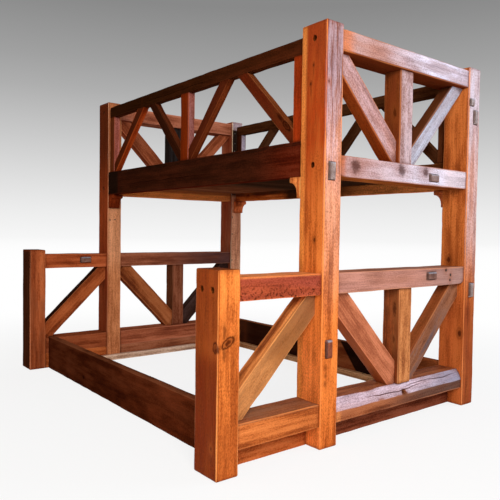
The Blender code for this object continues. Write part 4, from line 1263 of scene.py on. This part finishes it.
def steel(name: str, rubbed: Colour) -> Any:
    """Make dull steel, rubbed brighter in patches."""
    made, graph = new_material(name)
    rub = graph.noise(graph.stretch(graph.place(), (240.0, 240.0, 240.0)), 3.0)
    colour = graph.mix(rub.step(0.40, 0.70), tuple(0.18 * value for value in rubbed), rubbed)
    sockets = {"Base Color": colour, "Metallic": 1.0, "Roughness": 0.62 - rub * 0.25}
    graph.show(graph.node("BsdfPrincipled", {}, sockets))
    return made


def box(node: str) -> tuple[Array, Array]:
    """Read the lowest and the highest corner of a node's box."""
    low, high = (np.array(corner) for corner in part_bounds(node))
    return low, high


def part_box(low: Array, high: Array, axis: int, cut: float) -> list[tuple[Array, Array]]:
    """Cut a box in two at a place along an axis."""
    first_high, second_low = high.copy(), low.copy()
    first_high[axis] = second_low[axis] = cut
    return [(low.copy(), first_high), (second_low, high.copy())]


@dataclass
class Parts:
    """Turns the solids into bars, each with a seed of its own."""

    seed: int = 10

    def bar(
        self, name: str, low: Array, high: Array, along: Array, outward: Array, slot: str, node: str = "",
        **looks: Any,
    ) -> Bar:
        """Make a straight timber that fills a box.

        Args:
            name: the piece's name.
            low: the box's lowest corner.
            high: its highest corner.
            along: the axis that the timber and its grain follow.
            outward: the axis of the face that shows.
            slot: the record's material slot.
            node: the solid that it stands for, if any.
            looks: the bar's other fields.

        Returns:
            The bar, not built yet.
        """
        self.seed += 1
        size = tuple(float(abs((high - low) @ axis)) for axis in (along, np.cross(outward, along), outward))
        return Bar(
            name, (node,) if node else (), slot, wood(node or name), (low + high) / 2, along, outward, size,
            self.seed, tints=named(TINTS, name, ()), **looks,
        )

    def timber(
        self, node: str, along: Array, outward: Array, slot: str, tenon: float = SEAT, **looks: Any
    ) -> None:
        """Build the straight timber of a solid, less its tenons and plugs, with its holes and marks.

        Args:
            node: the solid that it stands for.
            along: the axis that the timber and its grain follow.
            outward: the axis of the face that shows.
            slot: the record's material slot.
            tenon: how long the solid's tenon is at each end.
            looks: the bar's other fields.
        """
        low, high = box(node)
        if node in Plugs.hosts():
            high[0] -= PLUG_PROUD
        trim = along * (tenon - SEAT)
        looks = {**looks, **MARKS.get(node, {}), "cutters": Bolts.holes(node) + Plugs.mortises(node)}
        self.bar(f"{node}_timber", low + trim, high - trim, along, outward, slot, node, **looks).build()

    def brace(self, node: str, foot: Pair, head: Pair, wide: float, slot: str) -> None:
        """Build a diagonal that runs from its foot to its head and is cut by the sides of its bay.

        Args:
            node: the solid that it stands for, whose box is the bay.
            foot: where its axis starts: the place along the bay, and the height.
            head: where its axis ends.
            wide: its width, square to its length in the bay's plane.
            slot: the record's material slot.
        """
        low, high = box(node)
        run = high - low
        thin = int(np.argmin(run))
        ends = np.zeros((2, 3))
        ends[:, thin] = (low[thin] + high[thin]) / 2
        ends[:, 1 - thin], ends[:, 2] = zip(*sorted((foot, head)))
        span = ends[1] - ends[0]
        long = float(np.linalg.norm(span))
        self.seed += 1
        Bar(
            f"{node}_timber", (node,), slot, wood(node), ends.mean(0), span / long, (X_AXIS, -Y_AXIS)[thin],
            (long, wide, float(run[thin])), self.seed, (low - SEAT, high + SEAT),
            tints=named(TINTS, node, ()), **MARKS.get(node, {}),
        ).build()


@dataclass
class Posts:
    """The six posts, with their bolt holes and old mortises."""

    parts: Parts
    arris: float = 0.0045
    chip: float = 0.003
    end_arris: float = 0.005

    def build(self) -> None:
        """Build the posts."""
        looks = {"arris": self.arris, "chip": self.chip, "end_arris": self.end_arris}
        for end in SIDES:
            for place in POSTS:
                self.parts.timber(f"post_{place}_{end}", Z_AXIS, Y_AXIS, "post_timber", **looks)


@dataclass
class Plugs:
    """Wooden plugs in old mortises: blocks of end grain that stand a little proud."""

    parts: Parts
    arris: float = 0.0020
    chip: float = 0.001
    hewn: float = 0.0003
    end_arris: float = 0.0060
    pitch: float = 0.004

    @staticmethod
    @cache
    def places() -> list[tuple[str, float, float, float, float]]:
        """List each plug as its node, the middle's Y and Z, and its width and height."""
        post, back = (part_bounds(f"post_tall_{place}_right") for place in ("front", "back"))
        rails = ("lower_end_sill", "lower_end_rail", "bunk_end_rail", "bunk_top_rail")
        sill, rail, bunk, top = (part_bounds(f"{label}_right") for label in rails)
        step, step_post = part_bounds("lower_step_rail_left"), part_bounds("post_short_left")
        deep, tall, bay = post[1].y - post[0].y, rail[1].z - rail[0].z, back[0].y - post[1].y
        y_front = post[0].y + 0.42 * deep
        y_back = back[0].y + 0.60 * deep
        y_corner = back[0].y + 0.004 + PLUG_SHORT / 2
        y_rail = (post[1].y + back[0].y) / 2 + 0.20 * bay
        y_step = step_post[1].y + 0.64 * (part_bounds("post_tall_front_left")[0].y - step_post[1].y)
        upright, lying, square = (PLUG_SHORT, PLUG_LONG), (PLUG_LONG, PLUG_SHORT), (PLUG_SHORT, PLUG_SHORT)
        return [
            ("post_tall_front_right", y_front, bunk[0].z + PLUG_SHORT / 2, *upright),
            ("post_tall_front_right", y_front, (sill[1].z + rail[0].z) / 2, *upright),
            ("post_tall_back_right", y_corner, top[0].z - PLUG_LONG, *square),
            ("post_tall_back_right", y_back, top[0].z - 2 * PLUG_LONG, *upright),
            ("post_tall_back_right", y_back, rail[0].z - PLUG_SHORT, *upright),
            ("bunk_end_rail_right", y_rail, bunk[0].z + 0.42 * tall, *lying),
            ("lower_end_rail_right", y_rail, rail[0].z + 0.58 * tall, *lying),
            ("lower_step_rail_left", y_step, step[0].z + 0.57 * tall, *lying),
        ]

    @classmethod
    def hosts(cls) -> set[str]:
        """List the nodes whose solids hold a plug."""
        return {node for node, *_ in cls.places()}

    @classmethod
    def boxes(cls) -> list[tuple[str, Array, Array]]:
        """List each plug's node and corners."""
        found = []
        for node, y, z, wide, tall in cls.places():
            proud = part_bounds(node)[1].x
            low = np.array((proud - PLUG_PROUD - PLUG_BED, y - wide / 2, z - tall / 2))
            found.append((node, low, np.array((proud, y + wide / 2, z + tall / 2))))
        return found

    @classmethod
    def mortises(cls, node: str) -> list[Solid]:
        """Make the cutters of the mortises that a node's plugs sit in, a little wider than the plugs."""
        wider, deeper = np.array((0.0, PLUG_GAP, PLUG_GAP)), PLUG_PROUD * X_AXIS
        mine = [(low, high) for owner, low, high in cls.boxes() if owner == node]
        return [crate(low - wider, high + wider + deeper) for low, high in mine]

    def build(self) -> None:
        """Build the plugs, numbered from 1 in each timber."""
        looks = {"arris": self.arris, "chip": self.chip, "hewn": self.hewn}
        looks |= {"end_arris": self.end_arris, "pitch": self.pitch}
        before: list[str] = []
        for node, low, high in self.boxes():
            before.append(node)
            name = f"plug_{node}_{before.count(node)}"
            self.parts.bar(name, low, high, X_AXIS, Z_AXIS, "post_timber", **looks).build()


@dataclass
class Bolts:
    """Bolts in the posts' counterbores, each a six-sided head on a washer."""

    washer_radius: float = 0.0118
    washer_thick: float = 0.0022
    washer_sides: int = 24
    head_radius: float = 0.0088
    head_tall: float = 0.0065

    HOLE_SIDES = 28

    @staticmethod
    @cache
    def places() -> list[tuple[str, float, float, float, float]]:
        """List each bolt as its post, X, Z, the face's Y and which way is in."""
        found = []
        for end in SIDES:
            short, front, back = (f"post_{place}_{end}" for place in POSTS)
            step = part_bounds(f"lower_step_rail_{end}")
            low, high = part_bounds(short)
            for spread in (-0.5, 0.5):
                x = (low.x + high.x) / 2 + spread * BOLT_PAIR_SPREAD
                found.append((short, x, (step[0].z + step[1].z) / 2, low.y, 1.0))
            for post, face, inward, rails in (
                (front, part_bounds(front)[0].y, 1.0, ("bunk_end_rail", "bunk_top_rail")),
                (back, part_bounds(back)[1].y, -1.0, ("lower_end_rail", "bunk_end_rail", "bunk_top_rail")),
            ):
                for rail in rails:
                    bottom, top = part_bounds(f"{rail}_{end}")
                    proud = PLUG_PROUD if f"{rail}_{end}" in Plugs.hosts() else 0.0
                    found.append((post, (bottom.x + top.x - proud) / 2, (bottom.z + top.z) / 2, face, inward))
        return found

    @classmethod
    def holes(cls, node: str) -> list[Solid]:
        """Make the cutters of a post's counterbores."""
        return [
            drum(np.array((x, face, z)), BOLT_HOLE_RADIUS, 2 * BOLT_HOLE_DEEP, cls.HOLE_SIDES)
            for post, x, z, face, _ in cls.places()
            if post == node
        ]

    def build(self) -> None:
        """Build all the bolts as one piece of loose solids."""
        heap = Heap()
        for _, x, z, face, inward in self.places():
            seat = face + inward * BOLT_HOLE_DEEP
            for radius, thick, sides, lift in (
                (self.washer_radius, self.washer_thick, self.washer_sides, 0.0),
                (self.head_radius, self.head_tall, 6, self.washer_thick),
            ):
                centre = np.array((x, seat - inward * (lift + thick / 2), z))
                heap.add(*drum(centre, radius, thick, sides))
        heap.build("bolts", steel("bolt_steel", DARK_STEEL))


@dataclass
class EndFrames:
    """Rails, sills, king posts and braces of the two ends."""

    parts: Parts

    RAILS = (
        "lower_step_rail", "lower_step_sill", "lower_end_rail",
        "lower_end_sill", "bunk_end_rail", "bunk_top_rail",
    )

    def build(self) -> None:
        """Build both ends: the rails and sills, then the king post and the braces of each storey."""
        for end in SIDES:
            for rail in self.RAILS:
                self.parts.timber(f"{rail}_{end}", Y_AXIS, X_AXIS, "end_timber", TENON_LONG)
            for storey in ("lower", "bunk"):
                self.parts.timber(f"{storey}_king_post_{end}", Z_AXIS, Y_AXIS, "end_timber", STUB_TENON_LONG)
                self.build_brace(f"{storey}_brace_front", end)
                self.build_brace(f"{storey}_brace_back", end)
            self.build_brace("lower_step_brace", end)

    def build_brace(self, label: str, end: str) -> None:
        """Build one brace; a front one falls towards the back, and so has its foot there."""
        node = f"{label}_{end}"
        wide, foot_up, head_in = END_BRACES[label]
        low, high = box(node)
        near, far = (high[1], low[1] + head_in) if label.endswith("front") else (low[1], high[1] - head_in)
        self.parts.brace(node, (near, low[2] + foot_up), (far, high[2]), wide, "brace_timber")


@dataclass
class LowerBed:
    """Boards and ledgers of the lower bed."""

    parts: Parts
    board_arris: float = 0.0035
    ledger_arris: float = 0.002
    under_arris: float = 0.003

    def build(self) -> None:
        """Build the side boards, the ledgers and the under-boards."""
        for place in ("front", "back"):
            self.build_side(place)
        for end, side in SIDES.items():
            self.build_end(end, side)

    def build_side(self, place: str) -> None:
        """Build one side board and the ledger strip along its foot, on the bed's side of it."""
        node = f"lower_side_rail_{place}"
        low, high = box(node)
        trim = X_AXIS * (BOARD_TENON_LONG - SEAT)
        if place == "front":
            board, strip = part_box(low, high, 1, low[1] + SIDE_BOARD_THICK)
        else:
            strip, board = part_box(low, high, 1, high[1] - SIDE_BOARD_THICK)
        strip[0][0], strip[1][0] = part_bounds("end_ledger_left")[1].x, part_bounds("end_ledger_right")[0].x
        strip[1][2] = LEDGER_WIDE
        board = board[0] + trim, board[1] - trim
        looks = {"arris": self.board_arris, "spare_knots": 2}
        self.parts.bar(f"{node}_board", *board, X_AXIS, -Y_AXIS, "bed_board", node, **looks).build()
        looks = {"arris": self.ledger_arris, "spare_knots": 3}
        self.parts.bar(f"ledger_strip_{place}", *strip, X_AXIS, Z_AXIS, "bed_board", **looks).build()

    def build_end(self, end: str, side: float) -> None:
        """Build one end's ledger strip and the two boards under its sills."""
        node = f"end_ledger_{end}"
        low, high = box(node)
        short, front, back = (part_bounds(f"post_{place}_{end}") for place in POSTS)
        if side > 0:
            strip, under = part_box(low, high, 0, low[0] + LEDGER_WIDE)
        else:
            under, strip = part_box(low, high, 0, high[0] - LEDGER_WIDE)
        strip[1][2] = LEDGER_WIDE
        looks = {"arris": self.ledger_arris}
        self.parts.bar(f"ledger_strip_{end}", *strip, Y_AXIS, Z_AXIS, "bed_board", node, **looks).build()
        looks = {"arris": self.under_arris}
        for bay, y_low, y_high in (("step", short[1].y, front[0].y), ("main", front[1].y, back[0].y)):
            under[0][1], under[1][1] = y_low, y_high
            name = f"under_board_{bay}_{end}"
            self.parts.bar(name, *under, Y_AXIS, side * X_AXIS, "bed_board", **looks).build()


@dataclass
class Bunk:
    """Side rails, deck, corbels and guards of the bunk."""

    parts: Parts
    boards: int = 15
    board_lap: float = 0.0006
    board_arris: float = 0.003
    board_pitch: float = 0.022
    board_shade: float = 0.28
    rail_crack: Crack = Crack(OUT, 0.62, -0.7, 0.3, 0.002, 0.006)
    corbel_steps: int = 26
    corbel_rim: float = 0.004

    # The rims of a corbel: how far in from its face, and how far drawn in, as shares of the rim's size
    RIM = np.array([(0.0, 1.0), (0.3, 0.35), (1.0, 0.0)])

    def build(self) -> None:
        """Build the bunk."""
        for place in ("front", "back"):
            self.build_rails(place)
            self.build_guard(place)
            for end, side in SIDES.items():
                self.build_corbel(f"corbel_{place}_{end}", side)
        self.build_deck()

    def build_rails(self, place: str) -> None:
        """Build the side rail and the guard's top rail of one side."""
        looks = {"spare_knots": 2, "cracks": (self.rail_crack,)}
        for label in ("bunk_side_rail", "guard_top_rail"):
            self.parts.timber(f"{label}_{place}", X_AXIS, -Y_AXIS, "guard_timber", BOARD_TENON_LONG, **looks)

    def build_guard(self, place: str) -> None:
        """Build the uprights and braces of one guard."""
        for node in (f"guard_stile_{place}_left", f"guard_centre_post_{place}", f"guard_stile_{place}_right"):
            self.parts.timber(node, Z_AXIS, Y_AXIS, "guard_timber", STUB_TENON_LONG)
        centre = float(np.mean(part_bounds(f"guard_centre_post_{place}"), axis=0)[0])
        for number in range(1, 5):
            node = f"guard_brace_{place}_{number}"
            low, high = box(node)
            apex = centre + (GUARD_APEX if number > 2 else -GUARD_APEX)
            near, lean = (low[0], -1.0) if number % 2 else (high[0], 1.0)
            head = (apex + lean * GUARD_APEX_HALF, high[2])
            self.parts.brace(node, (near, low[2] + GUARD_BRACE_FOOT), head, GUARD_BRACE_WIDE, "guard_timber")

    def build_deck(self) -> None:
        """Build the deck's boards, laid across the bunk side by side, as one piece with one grain."""
        low, high = box("bunk_deck")
        wide = (high[0] - low[0]) / self.boards
        draw = np.random.default_rng(DECK_SEED)
        heap, shades = Heap(), []
        for number in range(self.boards):
            first, last = low.copy(), high.copy()
            first[0] += number * wide - self.board_lap
            last[0] = low[0] + (number + 1) * wide + self.board_lap
            board = self.parts.bar(
                "bunk_deck_boards", first, last, Y_AXIS, Z_AXIS, "deck_board", "bunk_deck",
                arris=self.board_arris, pitch=self.board_pitch,
            )
            points, faces, _ = board.surface()
            heap.add(points, faces)
            shades.append(np.full(len(points), draw.uniform(-self.board_shade, self.board_shade)))
        turn, half = Matrix([board.along, board.across, board.outward]), tuple((high - low)[[1, 0, 2]] / 2)
        grain = Grain(turn, Vector((low + high) / 2), half, board.seed, tints=board.tints)
        material = board.finish.material("bunk_deck_wood", grain)
        marks = {"shade": np.concatenate(shades)}
        heap.build(board.name, material, slot=board.slot, nodes=board.nodes, marks=marks)

    def build_corbel(self, node: str, side: float) -> None:
        """Build one corbel: its ogee carried through the thickness, drawn in at both rims.

        The outline runs down from the rail as a rounded nose, a long cove and a short toe. Each point
        is put on a ray from a hub inside, and rims are drawn in towards that hub.
        """
        low, high = box(node)
        out, depth, tall = high - low
        nose, toe, heel, swell = 0.26 * tall, 0.30 * out, 0.08 * tall, 0.05 * out
        turn = np.linspace(0.0, math.pi, 9)
        rounded = np.stack([out - swell * (1 - np.sin(turn)), nose * (1 - np.cos(turn)) / 2], -1)
        sweep = np.linspace(0.0, math.pi / 2, self.corbel_steps)[1:]
        run, fall = out - swell - toe, tall - heel - nose
        cove = np.stack([out - swell - run * np.sin(sweep), tall - heel - fall * np.cos(sweep)], -1)
        back = np.stack([np.zeros(8), np.linspace(tall, 0.0, 8)], -1)
        upper = np.stack([np.linspace(0.0, out - swell, 8)[1:-1], np.zeros(6)], -1)
        outline = np.concatenate([rounded, cove, [(toe, tall)], back, upper])
        hub = np.array((0.28 * out, 0.30 * tall))
        reach = np.linalg.norm(outline - hub, axis=-1, keepdims=True)
        rims = self.RIM * self.corbel_rim
        rims = np.concatenate([rims, rims[::-1] * (-1.0, 1.0) + (depth, 0.0)])
        rings = [hub + (outline - hub) * (1.0 - drawn / reach) for _, drawn in rims]
        rings = [(rings[0] + hub) / 2, *rings, (rings[-1] + hub) / 2, hub[None, :], hub[None, :]]
        heights = [0.0, *rims[:, 0], depth, 0.0, depth]
        x_post = high[0] if side > 0 else low[0]
        points = np.concatenate([np.insert(ring, 1, height, axis=1) for ring, height in zip(rings, heights)])
        points = np.array((x_post, low[1], high[2])) + points * (-side, 1.0, -1.0)
        faces = closed_faces(len(rings) - 2, len(outline))
        if side > 0:
            faces = [row[::-1] for row in faces]
        self.parts.seed += 1
        turned = Matrix([-Z_AXIS, X_AXIS, -Y_AXIS])
        grain = Grain(turned, Vector((low + high) / 2), (tall / 2, out / 2, depth / 2), self.parts.seed)
        material = wood(node).material(f"{node}_wood", grain)
        add_piece(f"{node}_bracket", points, faces, material, "post_timber", (node,))


@dataclass
class Nails:
    """Old nail heads, each a low dome on the face that carries it."""

    radius: float = 0.0052
    rise: float = 0.0026
    sunk: float = 0.002
    sides: int = 12

    def nails(self) -> list[tuple[Colour, Array]]:
        """List each nail's place and the way that its head faces."""
        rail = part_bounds("lower_end_rail_right")[1].x - PLUG_PROUD
        post, back = (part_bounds(f"post_tall_{place}_left")[1].x for place in ("front", "back"))
        y_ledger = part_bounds("lower_side_rail_back")[0].y + LEDGER_WIDE / 2
        found = [((rail, y, z), X_AXIS) for y, z in ((0.659, 0.740), (0.656, 0.713), (0.616, 0.766))]
        found += [((post, y, z), X_AXIS) for y, z in ((-0.318, 1.029), (-0.279, 1.034))]
        found += [((back, 0.800, z), X_AXIS) for z in (1.080, 0.936, 0.713)]
        found += [((x, y_ledger, LEDGER_WIDE), Z_AXIS) for x in (-0.85, -0.42, 0.02, 0.456, 0.88)]
        return found

    @staticmethod
    def screws() -> list[tuple[Colour, Array]]:
        """List the bright screws high up on the far post."""
        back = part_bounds("post_tall_back_left")[1].x
        return [((back, y, z), X_AXIS) for y in (0.815, 0.851) for z in (1.788, 1.705, 1.640)]

    def build(self) -> None:
        """Build the nail heads and the screw heads."""
        self.heads("nail_heads", self.nails(), steel("nail_steel", DARK_STEEL))
        self.heads("screw_heads", self.screws(), steel("screw_steel", BRIGHT_STEEL))

    def heads(self, name: str, places: list[tuple[Colour, Array]], metal: Any) -> None:
        """Build heads as one piece: rings that rise to the middle of each dome."""
        turn = np.linspace(0.0, 2.0 * math.pi, self.sides, endpoint=False)[:, None]
        heap = Heap()
        for spot, facing in places:
            side = np.roll(facing, 1)
            ring = (np.cos(turn) * side + np.sin(turn) * np.cross(facing, side)) * self.radius
            up = facing * self.rise
            rows = [ring - facing * self.sunk, ring + 0.3 * up, 0.72 * ring + 0.8 * up]
            hubs = [-facing * self.sunk, up]
            heap.add(np.array(spot) + np.concatenate([*rows, hubs]), closed_faces(len(rows), self.sides))
        heap.build(name, metal)


@dataclass
class Studio:
    """Camera, lights, floor and backdrop."""

    place: Colour = (2.9468, -2.1548, 0.9640)
    yaw: float = 51.563
    pitch: float = 1.885
    roll: float = 0.822
    focal_pixels: float = 579.36
    frame_pixels: float = 500.0
    sensor: float = 36.0
    floor_half: float = 60.0
    floor_drop: float = 0.0015
    floor_grey: float = 0.90
    backdrop_foot: float = -0.06
    backdrop_tall: float = 0.415
    ambient: float = 0.30
    ambient_colour: Colour = (1.0, 0.985, 0.965)

    # The backdrop's greys by height, from the floor's far edge up
    GREYS = (
        (0.0, 1.0), (0.102, 0.93), (0.223, 0.838), (0.342, 0.73), (0.458, 0.624), (0.574, 0.521),
        (0.686, 0.423), (0.793, 0.352), (0.951, 0.272), (1.0, 0.25),
    )

    def build(self) -> None:
        """Set up the studio."""
        bpy.context.scene.view_settings.view_transform = "Standard"
        self.camera()
        self.floor()
        self.world()
        self.lamp("key_softbox", (4.1, -2.4, 2.5), (0.7, 0.0, 0.8), (1.8, 1.8), 155.0, (1.0, 0.96, 0.90))
        self.lamp("window_softbox", (3.4, 3.2, 2.3), (1.15, 0.3, 1.5), (2.4, 2.2), 70.0, (0.72, 0.82, 1.0))
        self.lamp("fill_softbox", (-2.2, -4.2, 3.2), (-0.4, 0.0, 0.6), (2.6, 2.6), 25.0, (1.0, 0.97, 0.93))

    def camera(self) -> None:
        """Stand the camera where the photograph was taken from."""
        yaw, pitch, roll = (math.radians(angle) for angle in (self.yaw, self.pitch, self.roll))
        ahead = Vector((-math.sin(yaw) * math.cos(pitch), math.cos(yaw) * math.cos(pitch), -math.sin(pitch)))
        level = Vector((math.cos(yaw), math.sin(yaw), 0.0))
        above = level.cross(ahead)
        right = math.cos(roll) * level + math.sin(roll) * above
        up = math.cos(roll) * above - math.sin(roll) * level
        data = bpy.data.cameras.new("photo_camera")
        data.sensor_width = self.sensor
        data.lens = self.focal_pixels / self.frame_pixels * self.sensor
        camera = link("photo_camera", data)
        turn = Matrix([right, up, -ahead]).transposed().to_4x4()
        camera.matrix_world = Matrix.Translation(self.place) @ turn
        bpy.context.scene.camera = camera

    @staticmethod
    def lamp(name: str, place: Colour, target: Colour, size: Pair, power: float, colour: Colour) -> None:
        """Hang a softbox that faces a point."""
        data = bpy.data.lights.new(name, "AREA")
        data.shape = "RECTANGLE"
        data.size, data.size_y = size
        data.energy = power
        data.color = colour
        lamp = link(name, data)
        lamp.location = place
        lamp.rotation_euler = (Vector(target) - Vector(place)).to_track_quat("-Z", "Y").to_euler()
        lamp.visible_camera = False

    def floor(self) -> None:
        """Lay a plain pale floor that shows white to the camera and keeps the bed's shadow."""
        line = np.linspace(-self.floor_half, self.floor_half, 3)
        x, y = np.meshgrid(line, line, indexing="ij")
        points = np.stack([x, y, np.full_like(x, -self.floor_drop)], -1).reshape(-1, 3)
        faces = [[corner, corner + 3, corner + 4, corner + 1] for corner in (0, 1, 3, 4)]
        mesh = new_mesh("studio_floor", points, faces)
        made, graph = new_material("studio_floor")
        matt = graph.node("BsdfDiffuse", {}, {"Color": (*[self.floor_grey] * 3, 1.0)})
        away = graph.distance(graph.place(), (0.3, -0.2, 0.0))
        pale = graph.mix(away.step(9.0, 70.0), (1.0, 1.0, 1.0), (0.92, 0.92, 0.92))
        white = graph.node("Emission", {}, {"Color": pale, "Strength": 1.0})
        clean = graph.direct() * (0.82 + away.step(1.2, 4.5) * 0.18)
        graph.show(graph.node("MixShader", {}, {0: clean, 1: matt, 2: white}))
        mesh.materials.append(made)
        floor = link("studio_floor", mesh)

    def world(self) -> None:
        """Light the studio evenly, with a backdrop that fades from white to grey upwards."""
        world = bpy.data.worlds.new("studio")
        bpy.context.scene.world = world
        world.use_nodes = True
        graph = Graph(world.node_tree)
        _, _, height = graph.split(graph.place())
        ramp = {"stops": [(place, (grey, grey, grey)) for place, grey in self.GREYS]}
        shade = graph.node("ValToRGB", ramp, {0: (height - self.backdrop_foot) / self.backdrop_tall})
        backdrop = graph.node("Background", {}, {"Color": shade, "Strength": 1.0})
        sockets = {"Color": (*self.ambient_colour, 1.0), "Strength": self.ambient}
        ambient = graph.node("Background", {}, sockets)
        graph.show(graph.node("MixShader", {}, {0: graph.direct(), 1: ambient, 2: backdrop}), "World")


def main() -> None:
    """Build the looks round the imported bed, piece by piece."""
    logging.basicConfig(level=logging.INFO, format="%(name)s %(message)s")
    bpy.data.batch_remove(list(bpy.data.objects))
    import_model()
    Studio().build()
    parts = Parts()
    for group in (Posts, EndFrames, LowerBed, Bunk, Plugs):
        group(parts).build()
    Bolts().build()
    Nails().build()


if __name__ == "__main__":
    main()
